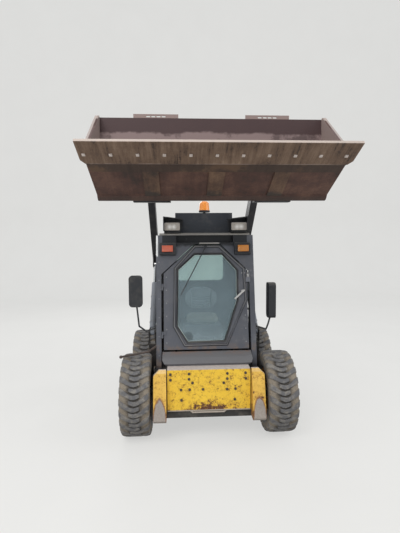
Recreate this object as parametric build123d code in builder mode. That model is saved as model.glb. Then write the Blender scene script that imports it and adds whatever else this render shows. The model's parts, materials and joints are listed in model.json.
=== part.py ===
"""Skid steer loader, rebuilt from one photo as an assembly of separate pieces.

Units are millimetres.  X runs to the right of the photo, Y to the machine's
rear, Z up from the ground.  The boom is raised and the bucket rolled back.
"""
import math
import os

from build123d import *

os.makedirs("parts", exist_ok=True)

# Dimensions
front_axle_y = -270
wheelbase = 1100
rear_axle_y = front_axle_y + wheelbase
running_gap = 6          # least gap kept between two pieces that move apart
pin_gap = 0.3            # radial gap of a pin in a bore that turns on it

# wheels
tyre_r = 415
tyre_x = 732             # middle of the tyre
tyre_half = 150
carcass_r = 391
lug_count = 22
lug_reach = 133          # from the middle plane to the shoulder
rim_r = 214
axle_r = 38

# lower frame
case_in = 405
case_out = 545
sleeve_reach = 45        # how far a sleeve reaches into the tyre's width
sleeve_len = tyre_x - tyre_half + sleeve_reach - case_out
frame_front = front_axle_y - 230
frame_rear = front_axle_y + 1700
frame_low = 245
frame_high = 640

bumper_len = 212

# rear frame, engine bay and its hinges
bay_front = front_axle_y + 1308
tower_rear = front_axle_y + 1890
tower_out = 552
tower_t = 36
hinge_r = 9
hinge_pin = 5
hinge_len = 34
hood_hinge_y = bay_front + 7
hood_hinge_z = 1300
rear_hinge_x = tower_out + 5
rear_hinge_y = tower_rear + 18
rear_hinge_z = (700, 1080)
hitch_pin_r = 13

# cab front, a plane that leans back
cab_y0 = front_axle_y + 20
cab_z0 = 700
cab_y1 = front_axle_y + 285
cab_z1 = 2075
cab_lean = (cab_y1 - cab_y0) / (cab_z1 - cab_z0)
cab_rear = front_axle_y + 1290
cab_half = 536
post_w = 54
post_d = 58
side_in = cab_half - post_w
header_low = 1985        # underside of the box over the door
header_deep = 150
recess_half = 315
rear_glass_w = 632
rear_glass_h = 470
rear_glass_z = 1475 + rear_glass_h / 2

# boom, pivot and hinge in the side view
pivot_y = front_axle_y + 1740
pivot_z = 1441
elbow_y = front_axle_y + 140
elbow_z = 2936
hinge_y = front_axle_y - 690
hinge_z = 2450
arm_in = 560
arm_out = 640
arm_mid = (arm_in + arm_out) / 2
arm_w = 76               # half the arm's depth
pivot_pin_r = 30
hinge_pin_r = 22

# lift cylinders
lift_base_y = front_axle_y + 430
lift_base_z = 960
lift_reach = 560         # from the pivot along the arm
lift_drop = 165          # below the arm's middle line
barrel_r = 37
rod_r = 20

# tilt cylinders
tilt_x = 500
tilt_barrel_r = 32
tilt_rod_r = 17
tilt_crank = 120         # from the bucket hinge up to the rod's eye
tilt_set = 30            # and back from it

# bucket
bucket_half = 930
bucket_wall = 8
edge_half = 955
edge_len = 209           # cutting edge, from the lip back
band_len = 100           # second plate behind it
strap_x = 488
strap_w = 120


def unit(dy, dz):
    """Unit vector of a side view direction."""
    n = math.hypot(dy, dz)
    return dy / n, dz / n


arm_uy, arm_uz = unit(elbow_y - pivot_y, elbow_z - pivot_z)
leg_uy, leg_uz = unit(hinge_y - elbow_y, hinge_z - elbow_z)
arm_ny, arm_nz = -arm_uz * -1, -arm_uy
leg_ny, leg_nz = leg_uz, -leg_uy


def cab_front(z):
    """Y of the cab's front plane at height z."""
    return cab_y0 + (z - cab_z0) * cab_lean


def up(z):
    """Distance along the leaning front from its foot to height z."""
    return (z - cab_z0) * math.hypot(1, cab_lean)


front_plane = Plane(
    (0, cab_y0, cab_z0), x_dir=(1, 0, 0), z_dir=(0, -1, cab_lean))
door_hinge_x = -side_in + 12
door_hinge_z = (980, 1480)
door_hinge_plane = Plane(
    (0, cab_y0 - 9, cab_z0 + 9 * cab_lean), x_dir=(1, 0, 0), z_dir=(0, cab_lean, 1))


# Lower frame
with BuildPart() as frame:
    with BuildSketch(Plane.YZ.offset(case_in)):
        Polygon(
            (frame_front, frame_low), (frame_rear - 90, frame_low),
            (frame_rear, frame_low + 80), (frame_rear, frame_high),
            (frame_front, frame_high), align=None)
    extrude(amount=case_out - case_in)
    mirror(about=Plane.YZ)
    with Locations((0, (frame_front + frame_rear - 90) / 2, frame_low + 6)):
        Box(2 * case_in, frame_rear - 90 - frame_front, 12)
    with Locations((0, frame_front + 6, (frame_low + 330) / 2)):
        Box(2 * case_in, 12, 330 - frame_low)
frame.part.label = "frame"
export_step(frame.part, "parts/frame.step")

with BuildPart() as axle_sleeves:
    for wy in (front_axle_y, rear_axle_y):
        for side in (-1, 1):
            with BuildSketch(Plane.YZ.offset(side * case_out)):
                with Locations((wy, tyre_r)):
                    Circle(62)
            extrude(amount=side * sleeve_len)
            with BuildSketch(Plane.YZ.offset(side * (case_out + sleeve_len))):
                with Locations((wy, tyre_r)):
                    Circle(axle_r)
            extrude(amount=side * 36)
axle_sleeves.part.label = "axle_sleeves"
export_step(axle_sleeves.part, "parts/axle_sleeves.step")

# Front plate
plate_y = front_axle_y - 250
flange_top = 738
flange_len = 150
loop_r = 9
with BuildPart() as front_plate:
    with BuildSketch(Plane.XZ.offset(-plate_y)):
        with Locations((0, (320 + 738) / 2)):
            Rectangle(2 * 415, 738 - 320)
    extrude(amount=plate_y - frame_front)
    with BuildSketch(Plane.XY.offset(flange_top - 14)):
        with Locations((0, plate_y + flange_len / 2)):
            Rectangle(2 * 415, flange_len)
    extrude(amount=14)
    loop = [(-190, plate_y + 10, 326), (-165, plate_y + 10, 303),
            (150, plate_y + 10, 303), (175, plate_y + 10, 326)]
    for start, end in zip(loop, loop[1:]):
        run = Vector(*end) - Vector(*start)
        with BuildSketch(Plane(start, z_dir=run)):
            Circle(loop_r)
        extrude(amount=run.length)
    with Locations(*loop[1:3]):
        Sphere(loop_r)
front_plate.part.label = "front_plate"
export_step(front_plate.part, "parts/front_plate.step")

with BuildPart() as boom_stops:
    for x0 in (425, -550):
        with BuildSketch(Plane.YZ.offset(x0)):
            Polygon(
                (frame_front, 262), (front_axle_y - 345, 250),
                (front_axle_y - 385, 285), (front_axle_y - 275, 715),
                (front_axle_y - 255, 745), (frame_front, 745), align=None)
        extrude(amount=125)
    for side in (-1, 1):
        with BuildSketch(Plane.XZ.offset(-frame_front)):
            Polygon(
                (side * 495, 746), (side * 551, 746), (side * 551, 690), align=None)
        extrude(amount=60, mode=Mode.SUBTRACT)
boom_stops.part.label = "boom_stops"
export_step(boom_stops.part, "parts/boom_stops.step")

sill_half = 470
with BuildPart() as sill_panel:
    with BuildSketch(Plane.YZ.offset(-sill_half)):
        Polygon(
            (front_axle_y - 118, flange_top + pin_gap), (front_axle_y - 132, 762),
            (front_axle_y - 60, 806), (front_axle_y + 38, 842),
            (front_axle_y + 50, 828), (front_axle_y - 50, 794),
            (front_axle_y - 116, 756), (front_axle_y - 104, flange_top + pin_gap), align=None)
    extrude(amount=2 * sill_half)
    for side in (-1, 1):
        with BuildSketch(Plane.XZ.offset(-front_axle_y)):
            Polygon(
                (side * (sill_half - 42), flange_top - 1), (side * (sill_half + 1), 792),
                (side * (sill_half + 1), flange_top - 1), align=None)
        extrude(amount=160, mode=Mode.SUBTRACT)
sill_panel.part.label = "sill_panel"
export_step(sill_panel.part, "parts/sill_panel.step")

# Rear frame and towers
with BuildPart() as towers:
    for x0 in (-tower_out, tower_out - tower_t):
        with BuildSketch(Plane.YZ.offset(x0)):
            Polygon(
                (bay_front, frame_high), (tower_rear, frame_high),
                (tower_rear, 1240), (pivot_y + 110, pivot_z + 40),
                (pivot_y + 60, pivot_z + 105), (pivot_y - 60, pivot_z + 105),
                (pivot_y - 150, pivot_z), (bay_front + 170, 1330),
                (bay_front, hood_hinge_z - 20), align=None)
        extrude(amount=tower_t)
    with BuildSketch(Plane.YZ.offset(-tower_out + tower_t)):
        Polygon(
            (bay_front, frame_high), (bay_front + 8, frame_high),
            (bay_front + 8, hood_hinge_z - 20), (bay_front, hood_hinge_z - 20), align=None)
    extrude(amount=2 * (tower_out - tower_t))
    for side in (-1, 1):
        with BuildSketch(Plane.YZ.offset(side * 300)):
            with Locations((hood_hinge_y, hood_hinge_z)):
                Circle(hinge_r)
            with Locations((bay_front + 4, hood_hinge_z - 14)):
                Rectangle(8, 28)
        extrude(amount=side * hinge_len)
        with BuildSketch(Plane.YZ.offset(side * 300)):
            with Locations((hood_hinge_y, hood_hinge_z)):
                Circle(hinge_pin)
        extrude(amount=side * (2 * hinge_len))
    for z0 in rear_hinge_z:
        with BuildSketch(Plane.XY.offset(z0)):
            with Locations((tower_out + 3, tower_rear - 12)):
                Rectangle(6, 60)
            with Locations((rear_hinge_x, rear_hinge_y)):
                Circle(hinge_r)
        extrude(amount=hinge_len)
        with BuildSketch(Plane.XY.offset(z0)):
            with Locations((rear_hinge_x, rear_hinge_y)):
                Circle(hinge_pin)
        extrude(amount=2 * hinge_len)
    for side in (-1, 1):
        with BuildSketch(Plane.YZ.offset(side * tower_out)):
            with Locations((pivot_y, pivot_z)):
                Circle(pivot_pin_r)
        extrude(amount=side * (arm_out + running_gap - tower_out))
        with BuildSketch(Plane.YZ.offset(side * (arm_out + running_gap))):
            with Locations((pivot_y, pivot_z)):
                Circle(52)
        extrude(amount=side * 12)
towers.part.label = "towers"
export_step(towers.part, "parts/towers.step")

with BuildPart() as lift_brackets:
    for side in (-1, 1):
        with BuildSketch(Plane.YZ.offset(side * case_out)):
            Polygon(
                (lift_base_y - 15, 570), (lift_base_y + 170, 570),
                (lift_base_y + 60, 840), (lift_base_y - 55, 840), align=None)
        extrude(amount=side * (arm_out - 4 - case_out))
        for x0 in (arm_mid - 40, arm_mid + 30):
            with BuildSketch(Plane.YZ.offset(side * x0)):
                with Locations((lift_base_y, 880)):
                    Rectangle(90, 160)
                with Locations((lift_base_y, lift_base_z)):
                    Circle(45)
            extrude(amount=side * 10)
        with BuildSketch(Plane.YZ.offset(side * (arm_mid - 46))):
            with Locations((lift_base_y, lift_base_z)):
                Circle(18)
        extrude(amount=side * 92)
lift_brackets.part.label = "lift_brackets"
export_step(lift_brackets.part, "parts/lift_brackets.step")

with BuildPart() as engine:
    with Locations((0, bay_front + 12 + 185, (frame_low + 12 + 930) / 2)):
        Box(560, 370, 930 - frame_low - 12)
engine.part.label = "engine"
export_step(engine.part, "parts/engine.step")

with BuildPart() as bumper:
    with BuildSketch(Plane.YZ.offset(-516)):
        Polygon(
            (frame_rear, 330), (frame_rear + 150, 330),
            (frame_rear + bumper_len, 370), (frame_rear + bumper_len, 560),
            (frame_rear, 560), align=None)
    extrude(amount=1032)
    for z0 in (400, 480):
        with BuildSketch(Plane.XY.offset(z0)):
            with Locations((0, frame_rear + bumper_len + 30)):
                Rectangle(110, 90)
            with Locations((0, frame_rear + bumper_len + 40)):
                Circle(hitch_pin_r, mode=Mode.SUBTRACT)
        extrude(amount=20)
bumper.part.label = "bumper"
export_step(bumper.part, "parts/bumper.step")

# Cab
with BuildPart() as cab_frame:
    for x0 in (-cab_half, side_in):
        with BuildSketch(Plane.YZ.offset(x0)):
            Polygon(
                (cab_y0, cab_z0), (cab_y1, cab_z1), (cab_rear, cab_z1),
                (cab_rear, 900), (cab_rear - 120, cab_z0 - 60),
                (cab_y0 + 10, cab_z0 - 60), align=None)
            Polygon(
                (cab_front(900) + post_d, 900), (cab_front(2015) + post_d, 2015),
                (cab_rear - post_d, 2015), (cab_rear - post_d, 1000),
                (cab_rear - 160, 900), align=None, mode=Mode.SUBTRACT)
        extrude(amount=post_w)
    with BuildSketch(Plane.YZ.offset(-side_in)):
        Polygon(
            (cab_front(header_low), header_low), (cab_y1, cab_z1),
            (cab_y1 + header_deep, cab_z1), (cab_y1 + header_deep, header_low), align=None)
        Polygon(
            (cab_rear - 58, 2015), (cab_rear - 58, cab_z1), (cab_rear, cab_z1),
            (cab_rear, 2015), align=None)
    extrude(amount=2 * side_in)
    with Locations((0, cab_y1 - 30 + (header_deep - 30) / 2, (header_low + 8 + cab_z1) / 2)):
        Box(2 * recess_half, header_deep - 30, cab_z1 - header_low - 8, mode=Mode.SUBTRACT)
    with BuildSketch(Plane.XZ.offset(-(cab_rear - 8))):
        with Locations((0, (frame_high + 2015) / 2)):
            Rectangle(2 * side_in, 2015 - frame_high)
        with Locations((0, rear_glass_z)):
            RectangleRounded(rear_glass_w, rear_glass_h, 60, mode=Mode.SUBTRACT)
    extrude(amount=12)
    with BuildSketch(front_plane.offset(-8)):
        Polygon(
            (-side_in, up(1652)), (-side_in, up(2020)), (-recess_half, up(2020)),
            (-recess_half, up(header_low + 6)), (recess_half, up(header_low + 6)),
            (recess_half, up(2020)), (side_in, up(2020)),
            (side_in, up(1676)), (170, up(1976)), (-118, up(1976)), align=None)
    extrude(amount=8)
    for z0 in door_hinge_z:
        with BuildSketch(door_hinge_plane.offset(up(z0))):
            with Locations((door_hinge_x, 0)):
                Circle(hinge_r)
            with Locations((door_hinge_x - 11, 6)):
                Rectangle(22, 8)
        extrude(amount=hinge_len)
        with BuildSketch(door_hinge_plane.offset(up(z0))):
            with Locations((door_hinge_x, 0)):
                Circle(hinge_pin)
        extrude(amount=2 * hinge_len)
cab_frame.part.label = "cab_frame"
export_step(cab_frame.part, "parts/cab_frame.step")

with BuildPart() as roof:
    with BuildSketch(Plane.YZ.offset(-500)):
        Polygon(
            (cab_y1 - 5, cab_z1), (cab_y1 - 5, cab_z1 + 10),
            (cab_y1 + 40, cab_z1 + 24), (cab_rear - 30, cab_z1 + 24),
            (cab_rear, cab_z1 + 10), (cab_rear, cab_z1), align=None)
    extrude(amount=1000)
    with BuildSketch(Plane.XY.offset(cab_z1 + 24)):
        for x0 in (-375, -225, 225, 375):
            with Locations((x0, (cab_y1 + 260 + cab_rear - 60) / 2)):
                SlotOverall(cab_rear - 320 - cab_y1, 46, rotation=90)
    extrude(amount=7)
roof.part.label = "roof"
export_step(roof.part, "parts/roof.step")

with BuildPart() as side_screens:
    for x0 in (-cab_half + 22, cab_half - 28):
        with BuildSketch(Plane.YZ.offset(x0)):
            Polygon(
                (cab_front(900) + post_d, 900), (cab_front(2015) + post_d, 2015),
                (cab_rear - post_d, 2015), (cab_rear - post_d, 1000),
                (cab_rear - 160, 900), align=None)
            with Locations((front_axle_y + 750, 1480)):
                with GridLocations(104, 104, 7, 9):
                    Rectangle(88, 88, mode=Mode.SUBTRACT)
        extrude(amount=6)
side_screens.part.label = "side_screens"
export_step(side_screens.part, "parts/side_screens.step")

with BuildPart() as rear_window:
    with BuildSketch(Plane.XZ.offset(-(cab_rear - 20))):
        with Locations((0, rear_glass_z)):
            RectangleRounded(rear_glass_w + 40, rear_glass_h + 40, 70)
    extrude(amount=5)
rear_window.part.label = "rear_window"
export_step(rear_window.part, "parts/rear_window.step")

with BuildPart() as cab_floor:
    with BuildSketch(Plane.XY.offset(frame_high)):
        with Locations((0, (frame_front + cab_rear - 20) / 2)):
            Rectangle(2 * side_in, cab_rear - 20 - frame_front)
    extrude(amount=12)
cab_floor.part.label = "cab_floor"
export_step(cab_floor.part, "parts/cab_floor.step")

with BuildPart() as seat_base:
    with Locations((0, front_axle_y + 920, (frame_high + 12 + 980) / 2)):
        Box(460, 480, 980 - frame_high - 12)
seat_base.part.label = "seat_base"
export_step(seat_base.part, "parts/seat_base.step")

with BuildPart() as seat:
    with BuildSketch(Plane.YZ.offset(-230)):
        Polygon(
            (front_axle_y + 660, 980), (front_axle_y + 1090, 980),
            (front_axle_y + 1190, 1420), (front_axle_y + 1100, 1430),
            (front_axle_y + 1020, 1090), (front_axle_y + 660, 1080), align=None)
    extrude(amount=460)
    for side in (-1, 1):
        with BuildSketch(Plane.XZ.offset(-(front_axle_y + 650))):
            Polygon(
                (side * 185, 1431), (side * 231, 1431), (side * 231, 1290), align=None)
        extrude(amount=-560, mode=Mode.SUBTRACT)
seat.part.label = "seat"
export_step(seat.part, "parts/seat.step")

with BuildPart() as levers:
    for side in (-1, 1):
        with Locations((side * 330, front_axle_y + 500, frame_high + 12 + 230)):
            Cylinder(12, 460)
        with Locations((side * 330, front_axle_y + 500, frame_high + 12 + 500)):
            Cylinder(20, 120)
levers.part.label = "levers"
export_step(levers.part, "parts/levers.step")

# Lamps, sign plate and beacon
lamp_y = cab_y1 + 6
lamp_w = 184
lamp_z = 2172
with BuildPart() as work_lamps:
    for cx, side in ((-360, -1), (385, 1)):
        outer = cx + side * (lamp_w / 2 + 4)
        with Locations((cx, lamp_y + 45, lamp_z)):
            Box(lamp_w, 80, 96)
        with BuildSketch(Plane.XZ.offset(-(lamp_y + 100))):
            Polygon(
                (outer, lamp_z - 48), (outer, lamp_z + 110),
                (outer - side * 216, lamp_z + 84), (outer - side * 216, lamp_z + 74),
                (outer - side * 8, lamp_z + 98), (outer - side * 8, lamp_z - 48), align=None)
        extrude(amount=130)
        with BuildSketch(Plane.XZ.offset(-(lamp_y + 100))):
            Polygon(
                (outer - side * 4, lamp_z - 48), (outer - side * 4, lamp_z + 104),
                (outer - side * 216, lamp_z + 78), (outer - side * 216, lamp_z + 40),
                (outer - side * 196, lamp_z - 48), align=None)
        extrude(amount=8)
        with Locations((cx, lamp_y + 60, (cab_z1 + 24 + lamp_z - 44) / 2)):
            Box(40, 40, lamp_z - 44 - cab_z1 - 24)
work_lamps.part.label = "work_lamps"
export_step(work_lamps.part, "parts/work_lamps.step")

with BuildPart() as lamp_lenses:
    for cx in (-360, 385):
        with BuildSketch(Plane.XZ.offset(-(lamp_y + 5))):
            with Locations((cx, lamp_z)):
                RectangleRounded(lamp_w - 12, 84, 12)
        extrude(amount=6)
lamp_lenses.part.label = "lamp_lenses"
export_step(lamp_lenses.part, "parts/lamp_lenses.step")

with BuildPart() as indicators:
    with BuildSketch(front_plane):
        with Locations((-411, up(1921)), (414, up(1921))):
            Rectangle(184, 136)
    extrude(amount=40)
indicators.part.label = "indicators"
export_step(indicators.part, "parts/indicators.step")

with BuildPart() as indicator_lenses:
    with BuildSketch(front_plane.offset(40)):
        with Locations((-411, up(1921)), (417, up(1921))):
            Rectangle(122, 72)
    extrude(amount=20)
indicator_lenses.part.label = "indicator_lenses"
export_step(indicator_lenses.part, "parts/indicator_lenses.step")

with BuildPart() as sign_plate:
    with BuildSketch(Plane.YZ.offset(-325)):
        Polygon(
            (cab_y1 + 70, cab_z1 + 24), (cab_y1 + 70, cab_z1 + 30),
            (cab_y1 + 112, cab_z1 + 34), (cab_y1 + 142, 2330),
            (cab_y1 + 150, 2330), (cab_y1 + 120, cab_z1 + 24), align=None)
    extrude(amount=650)
sign_plate.part.label = "sign_plate"
export_step(sign_plate.part, "parts/sign_plate.step")

with BuildPart() as beacon:
    with Locations((10, cab_y1 + 190, (cab_z1 + 24 + 2345) / 2)):
        Cylinder(14, 2345 - cab_z1 - 24)
    with Locations((10, cab_y1 + 190, 2350)):
        Cylinder(64, 20)
beacon.part.label = "beacon"
export_step(beacon.part, "parts/beacon.step")

with BuildPart() as beacon_lens:
    with BuildSketch(Plane.XZ.offset(-(cab_y1 + 190))):
        Polygon((10, 2360), (70, 2360), (63, 2442), (40, 2464), (10, 2464), align=None)
    revolve(axis=Axis((10, cab_y1 + 190, 0), (0, 0, 1)))
beacon_lens.part.label = "beacon_lens"
export_step(beacon_lens.part, "parts/beacon_lens.step")

with BuildPart() as mirrors:
    for side, head_x, low in ((-1, 742, 1325), (1, 690, 1192)):
        bends = [
            (side * (cab_half + 6), cab_front(1085) + 30, 1084),
            (side * 640, front_axle_y + 60, 1062),
            (side * (head_x - 30), front_axle_y + 52, 1120),
            (side * (head_x - 8), front_axle_y + 50, low + 10)]
        for start, end in zip(bends, bends[1:]):
            run = Vector(*end) - Vector(*start)
            with BuildSketch(Plane(start, z_dir=run)):
                Circle(9)
            extrude(amount=run.length)
        with Locations(*bends[1:3]):
            Sphere(9)
        with Locations((side * (cab_half + 5), cab_front(1085) + 30, 1085)):
            Box(10, 40, 60)
    with BuildSketch(Plane.XZ.offset(-(front_axle_y + 27))):
        with Locations((-742, 1490)):
            RectangleRounded(140, 332, 38)
    extrude(amount=-46)
    with BuildSketch(Plane.YZ.offset(653)):
        with Locations((front_axle_y + 50, 1192 + 187)):
            RectangleRounded(140, 374, 38)
    extrude(amount=74)
mirrors.part.label = "mirrors"
export_step(mirrors.part, "parts/mirrors.step")

# Wheels
with BuildPart(mode=Mode.PRIVATE) as tyre_shape:
    with BuildSketch(Plane.XZ):
        Polygon(
            (-112, rim_r), (-112, 234), (-142, 264), (-150, 305), (-146, 345),
            (-132, 378), (-90, carcass_r), (90, carcass_r), (132, 378), (146, 345),
            (150, 305), (142, 264), (112, 234), (112, rim_r),
            (88, rim_r), (92, 236), (118, 268), (126, 305), (112, 352), (80, 368),
            (-80, 368), (-112, 352), (-126, 305), (-118, 268), (-92, 236),
            (-88, rim_r), align=None)
    revolve(axis=Axis.X)

pitch = 360 / lug_count
with BuildPart(mode=Mode.PRIVATE) as lug_shape:
    with BuildSketch(Plane.XY.offset(362)):
        Polygon((-12, -52), (-12, -12), (lug_reach + 6, 72), (lug_reach + 6, 20), align=None)
    extrude(amount=60)
    with BuildSketch(Plane.YZ.offset(-200)):
        Circle(tyre_r)
    extrude(amount=400, mode=Mode.INTERSECT)

tyres = [
    ("tyre_fl", -1, front_axle_y), ("tyre_fr", 1, front_axle_y),
    ("tyre_rl", -1, rear_axle_y), ("tyre_rr", 1, rear_axle_y)]

with BuildPart(mode=Mode.PRIVATE) as tyre_full:
    add(tyre_shape.part)
    for k in range(lug_count):
        with Locations(Location((0, 0, 0), (k * pitch, 0, 0))):
            add(lug_shape.part)
        with Locations(Location((0, 0, 0), ((k + 0.5) * pitch, 0, 0))):
            add(mirror(lug_shape.part, about=Plane.YZ))

for name, side, wy in tyres:
    with BuildPart() as tyre:
        with Locations((side * tyre_x, wy, tyre_r)):
            add(tyre_full.part)
    tyre.part.label = name
    export_step(tyre.part, "parts/" + name + ".step")

rims = [
    ("rim_fl", -1, front_axle_y), ("rim_fr", 1, front_axle_y),
    ("rim_rl", -1, rear_axle_y), ("rim_rr", 1, rear_axle_y)]
hub_in = case_out + sleeve_len + running_gap
for name, side, wy in rims:
    wheel_axis = Axis((0, wy, tyre_r), (1, 0, 0))
    with BuildPart() as rim:
        with BuildSketch(Plane((0, wy, tyre_r), x_dir=(side, 0, 0), z_dir=(0, -side, 0))):
            Polygon(
                (tyre_x - 120, 232), (tyre_x - 112, 232), (tyre_x - 112, rim_r),
                (tyre_x - 60, rim_r), (tyre_x - 50, 184), (tyre_x + 40, 184),
                (tyre_x + 50, rim_r), (tyre_x + 112, rim_r), (tyre_x + 112, 232),
                (tyre_x + 120, 232), (tyre_x + 120, rim_r - 8), (tyre_x + 56, rim_r - 8),
                (tyre_x + 46, 176), (tyre_x - 56, 176), (tyre_x - 66, rim_r - 8),
                (tyre_x - 120, rim_r - 8), align=None)
        revolve(axis=wheel_axis)
        with BuildSketch(Plane.YZ.offset(side * (tyre_x - 20))):
            with Locations((wy, tyre_r)):
                Circle(180)
                with PolarLocations(102, 8):
                    Circle(11, mode=Mode.SUBTRACT)
        extrude(amount=side * 10)
        with BuildSketch(Plane.YZ.offset(side * hub_in)):
            with Locations((wy, tyre_r)):
                Circle(82)
        extrude(amount=side * (tyre_x - 20 - hub_in))
        with BuildSketch(Plane.YZ.offset(side * hub_in)):
            with Locations((wy, tyre_r)):
                Circle(axle_r + pin_gap)
        extrude(amount=side * 36, mode=Mode.SUBTRACT)
        with BuildSketch(Plane.YZ.offset(side * (tyre_x - 10))):
            with Locations((wy, tyre_r)):
                Circle(60)
        extrude(amount=side * 36)
    rim.part.label = name
    export_step(rim.part, "parts/" + name + ".step")

# Boom
miter = 1 + arm_ny * leg_ny + arm_nz * leg_nz
bend_y = (arm_ny + leg_ny) / miter
bend_z = (arm_nz + leg_nz) / miter
lift_eye_y = pivot_y + lift_reach * arm_uy - lift_drop * arm_ny
lift_eye_z = pivot_z + lift_reach * arm_uz - lift_drop * arm_nz
arm_outline = [
    (pivot_y + 84 * arm_ny, pivot_z + 84 * arm_nz),
    (elbow_y + arm_w * bend_y, elbow_z + arm_w * bend_z),
    (hinge_y + 46 * leg_ny, hinge_z + 46 * leg_nz),
    (hinge_y - 46 * leg_ny, hinge_z - 46 * leg_nz),
    (elbow_y - arm_w * bend_y, elbow_z - arm_w * bend_z),
    (pivot_y - 84 * arm_ny, pivot_z - 84 * arm_nz)]
eye_plate = [
    (lift_eye_y + 40 * arm_uy, lift_eye_z + 40 * arm_uz),
    (lift_eye_y + 120 * arm_uy + 110 * arm_ny, lift_eye_z + 120 * arm_uz + 110 * arm_nz),
    (lift_eye_y - 120 * arm_uy + 110 * arm_ny, lift_eye_z - 120 * arm_uz + 110 * arm_nz),
    (lift_eye_y - 40 * arm_uy, lift_eye_z - 40 * arm_uz)]
tilt_base_y = hinge_y - 740 * leg_uy + 20 * leg_ny
tilt_base_z = hinge_z - 740 * leg_uz + 20 * leg_nz

for name, side in (("arm_left", -1), ("arm_right", 1)):
    with BuildPart() as arm:
        with BuildSketch(Plane.YZ.offset(side * arm_in)):
            Polygon(*arm_outline, align=None)
            with Locations((pivot_y, pivot_z)):
                Circle(98)
            with Locations((hinge_y, hinge_z)):
                Circle(50)
        extrude(amount=side * (arm_out - arm_in))
        with BuildSketch(Plane.YZ.offset(side * (arm_in - 20))):
            with Locations((pivot_y, pivot_z)):
                Circle(pivot_pin_r + pin_gap)
            with Locations((hinge_y, hinge_z)):
                Circle(hinge_pin_r + pin_gap)
        extrude(amount=side * (arm_out - arm_in + 40), mode=Mode.SUBTRACT)
        for x0 in (arm_mid - 35, arm_mid + 23):
            with BuildSketch(Plane.YZ.offset(side * x0)):
                Polygon(*eye_plate, align=None)
                with Locations((lift_eye_y, lift_eye_z)):
                    Circle(40)
            extrude(amount=side * 12)
        with BuildSketch(Plane.YZ.offset(side * (tilt_x + tilt_barrel_r + 8))):
            with Locations((tilt_base_y, tilt_base_z)):
                Circle(44)
        extrude(amount=side * (arm_in - tilt_x - tilt_barrel_r - 8))
        with BuildSketch(Plane.YZ.offset(side * (tilt_x - tilt_barrel_r - 8))):
            with Locations((tilt_base_y, tilt_base_z)):
                Circle(14)
        extrude(amount=side * (2 * tilt_barrel_r + 16))
    arm.part.label = name
    export_step(arm.part, "parts/" + name + ".step")

tube_y = elbow_y + 0.62 * (hinge_y - elbow_y) - 50 * leg_ny
tube_z = elbow_z + 0.62 * (hinge_z - elbow_z) - 50 * leg_nz
with BuildPart() as cross_tube:
    with BuildSketch(Plane.YZ.offset(-arm_in)):
        with Locations((tube_y, tube_z)):
            Circle(44)
            Circle(36, mode=Mode.SUBTRACT)
    extrude(amount=2 * arm_in)
cross_tube.part.label = "cross_tube"
export_step(cross_tube.part, "parts/cross_tube.step")

# Lift cylinders
lift_len = math.hypot(lift_eye_y - lift_base_y, lift_eye_z - lift_base_z)
lift_uy, lift_uz = unit(lift_eye_y - lift_base_y, lift_eye_z - lift_base_z)
for side, word in ((-1, "left"), (1, "right")):
    base = (side * arm_mid, lift_base_y, lift_base_z)
    along = (0, lift_uy, lift_uz)
    with BuildPart() as barrel:
        with BuildSketch(Plane.YZ.offset(side * (arm_mid - 22))):
            with Locations((lift_base_y, lift_base_z)):
                Circle(34)
        extrude(amount=side * 44)
        with BuildSketch(Plane(base, x_dir=(1, 0, 0), z_dir=along).offset(30)):
            Circle(22)
        extrude(amount=30)
        with BuildSketch(Plane(base, x_dir=(1, 0, 0), z_dir=along).offset(56)):
            Circle(barrel_r)
            Circle(barrel_r - 6, mode=Mode.SUBTRACT)
        extrude(amount=680)
        with BuildSketch(Plane(base, x_dir=(1, 0, 0), z_dir=along).offset(56)):
            Circle(barrel_r)
        extrude(amount=14)
        with BuildSketch(Plane(base, x_dir=(1, 0, 0), z_dir=along).offset(700)):
            Circle(barrel_r)
            Circle(rod_r + pin_gap, mode=Mode.SUBTRACT)
        extrude(amount=40)
        with BuildSketch(Plane.YZ.offset(side * (arm_mid - 30))):
            with Locations((lift_base_y, lift_base_z)):
                Circle(18 + pin_gap)
        extrude(amount=side * 60, mode=Mode.SUBTRACT)
    barrel.part.label = "lift_barrel_" + word
    export_step(barrel.part, "parts/lift_barrel_" + word + ".step")

    with BuildPart() as rod:
        with BuildSketch(Plane(base, x_dir=(1, 0, 0), z_dir=along).offset(lift_len - 440)):
            Circle(rod_r)
        extrude(amount=440 - 20)
        with BuildSketch(Plane.YZ.offset(side * (arm_mid - 16))):
            with Locations((lift_eye_y, lift_eye_z)):
                Circle(34)
        extrude(amount=side * 32)
        with BuildSketch(Plane.YZ.offset(side * (arm_mid - 23 + pin_gap))):
            with Locations((lift_eye_y, lift_eye_z)):
                Circle(18)
        extrude(amount=side * 2 * (23 - pin_gap))
    rod.part.label = "lift_rod_" + word
    export_step(rod.part, "parts/lift_rod_" + word + ".step")

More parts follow.
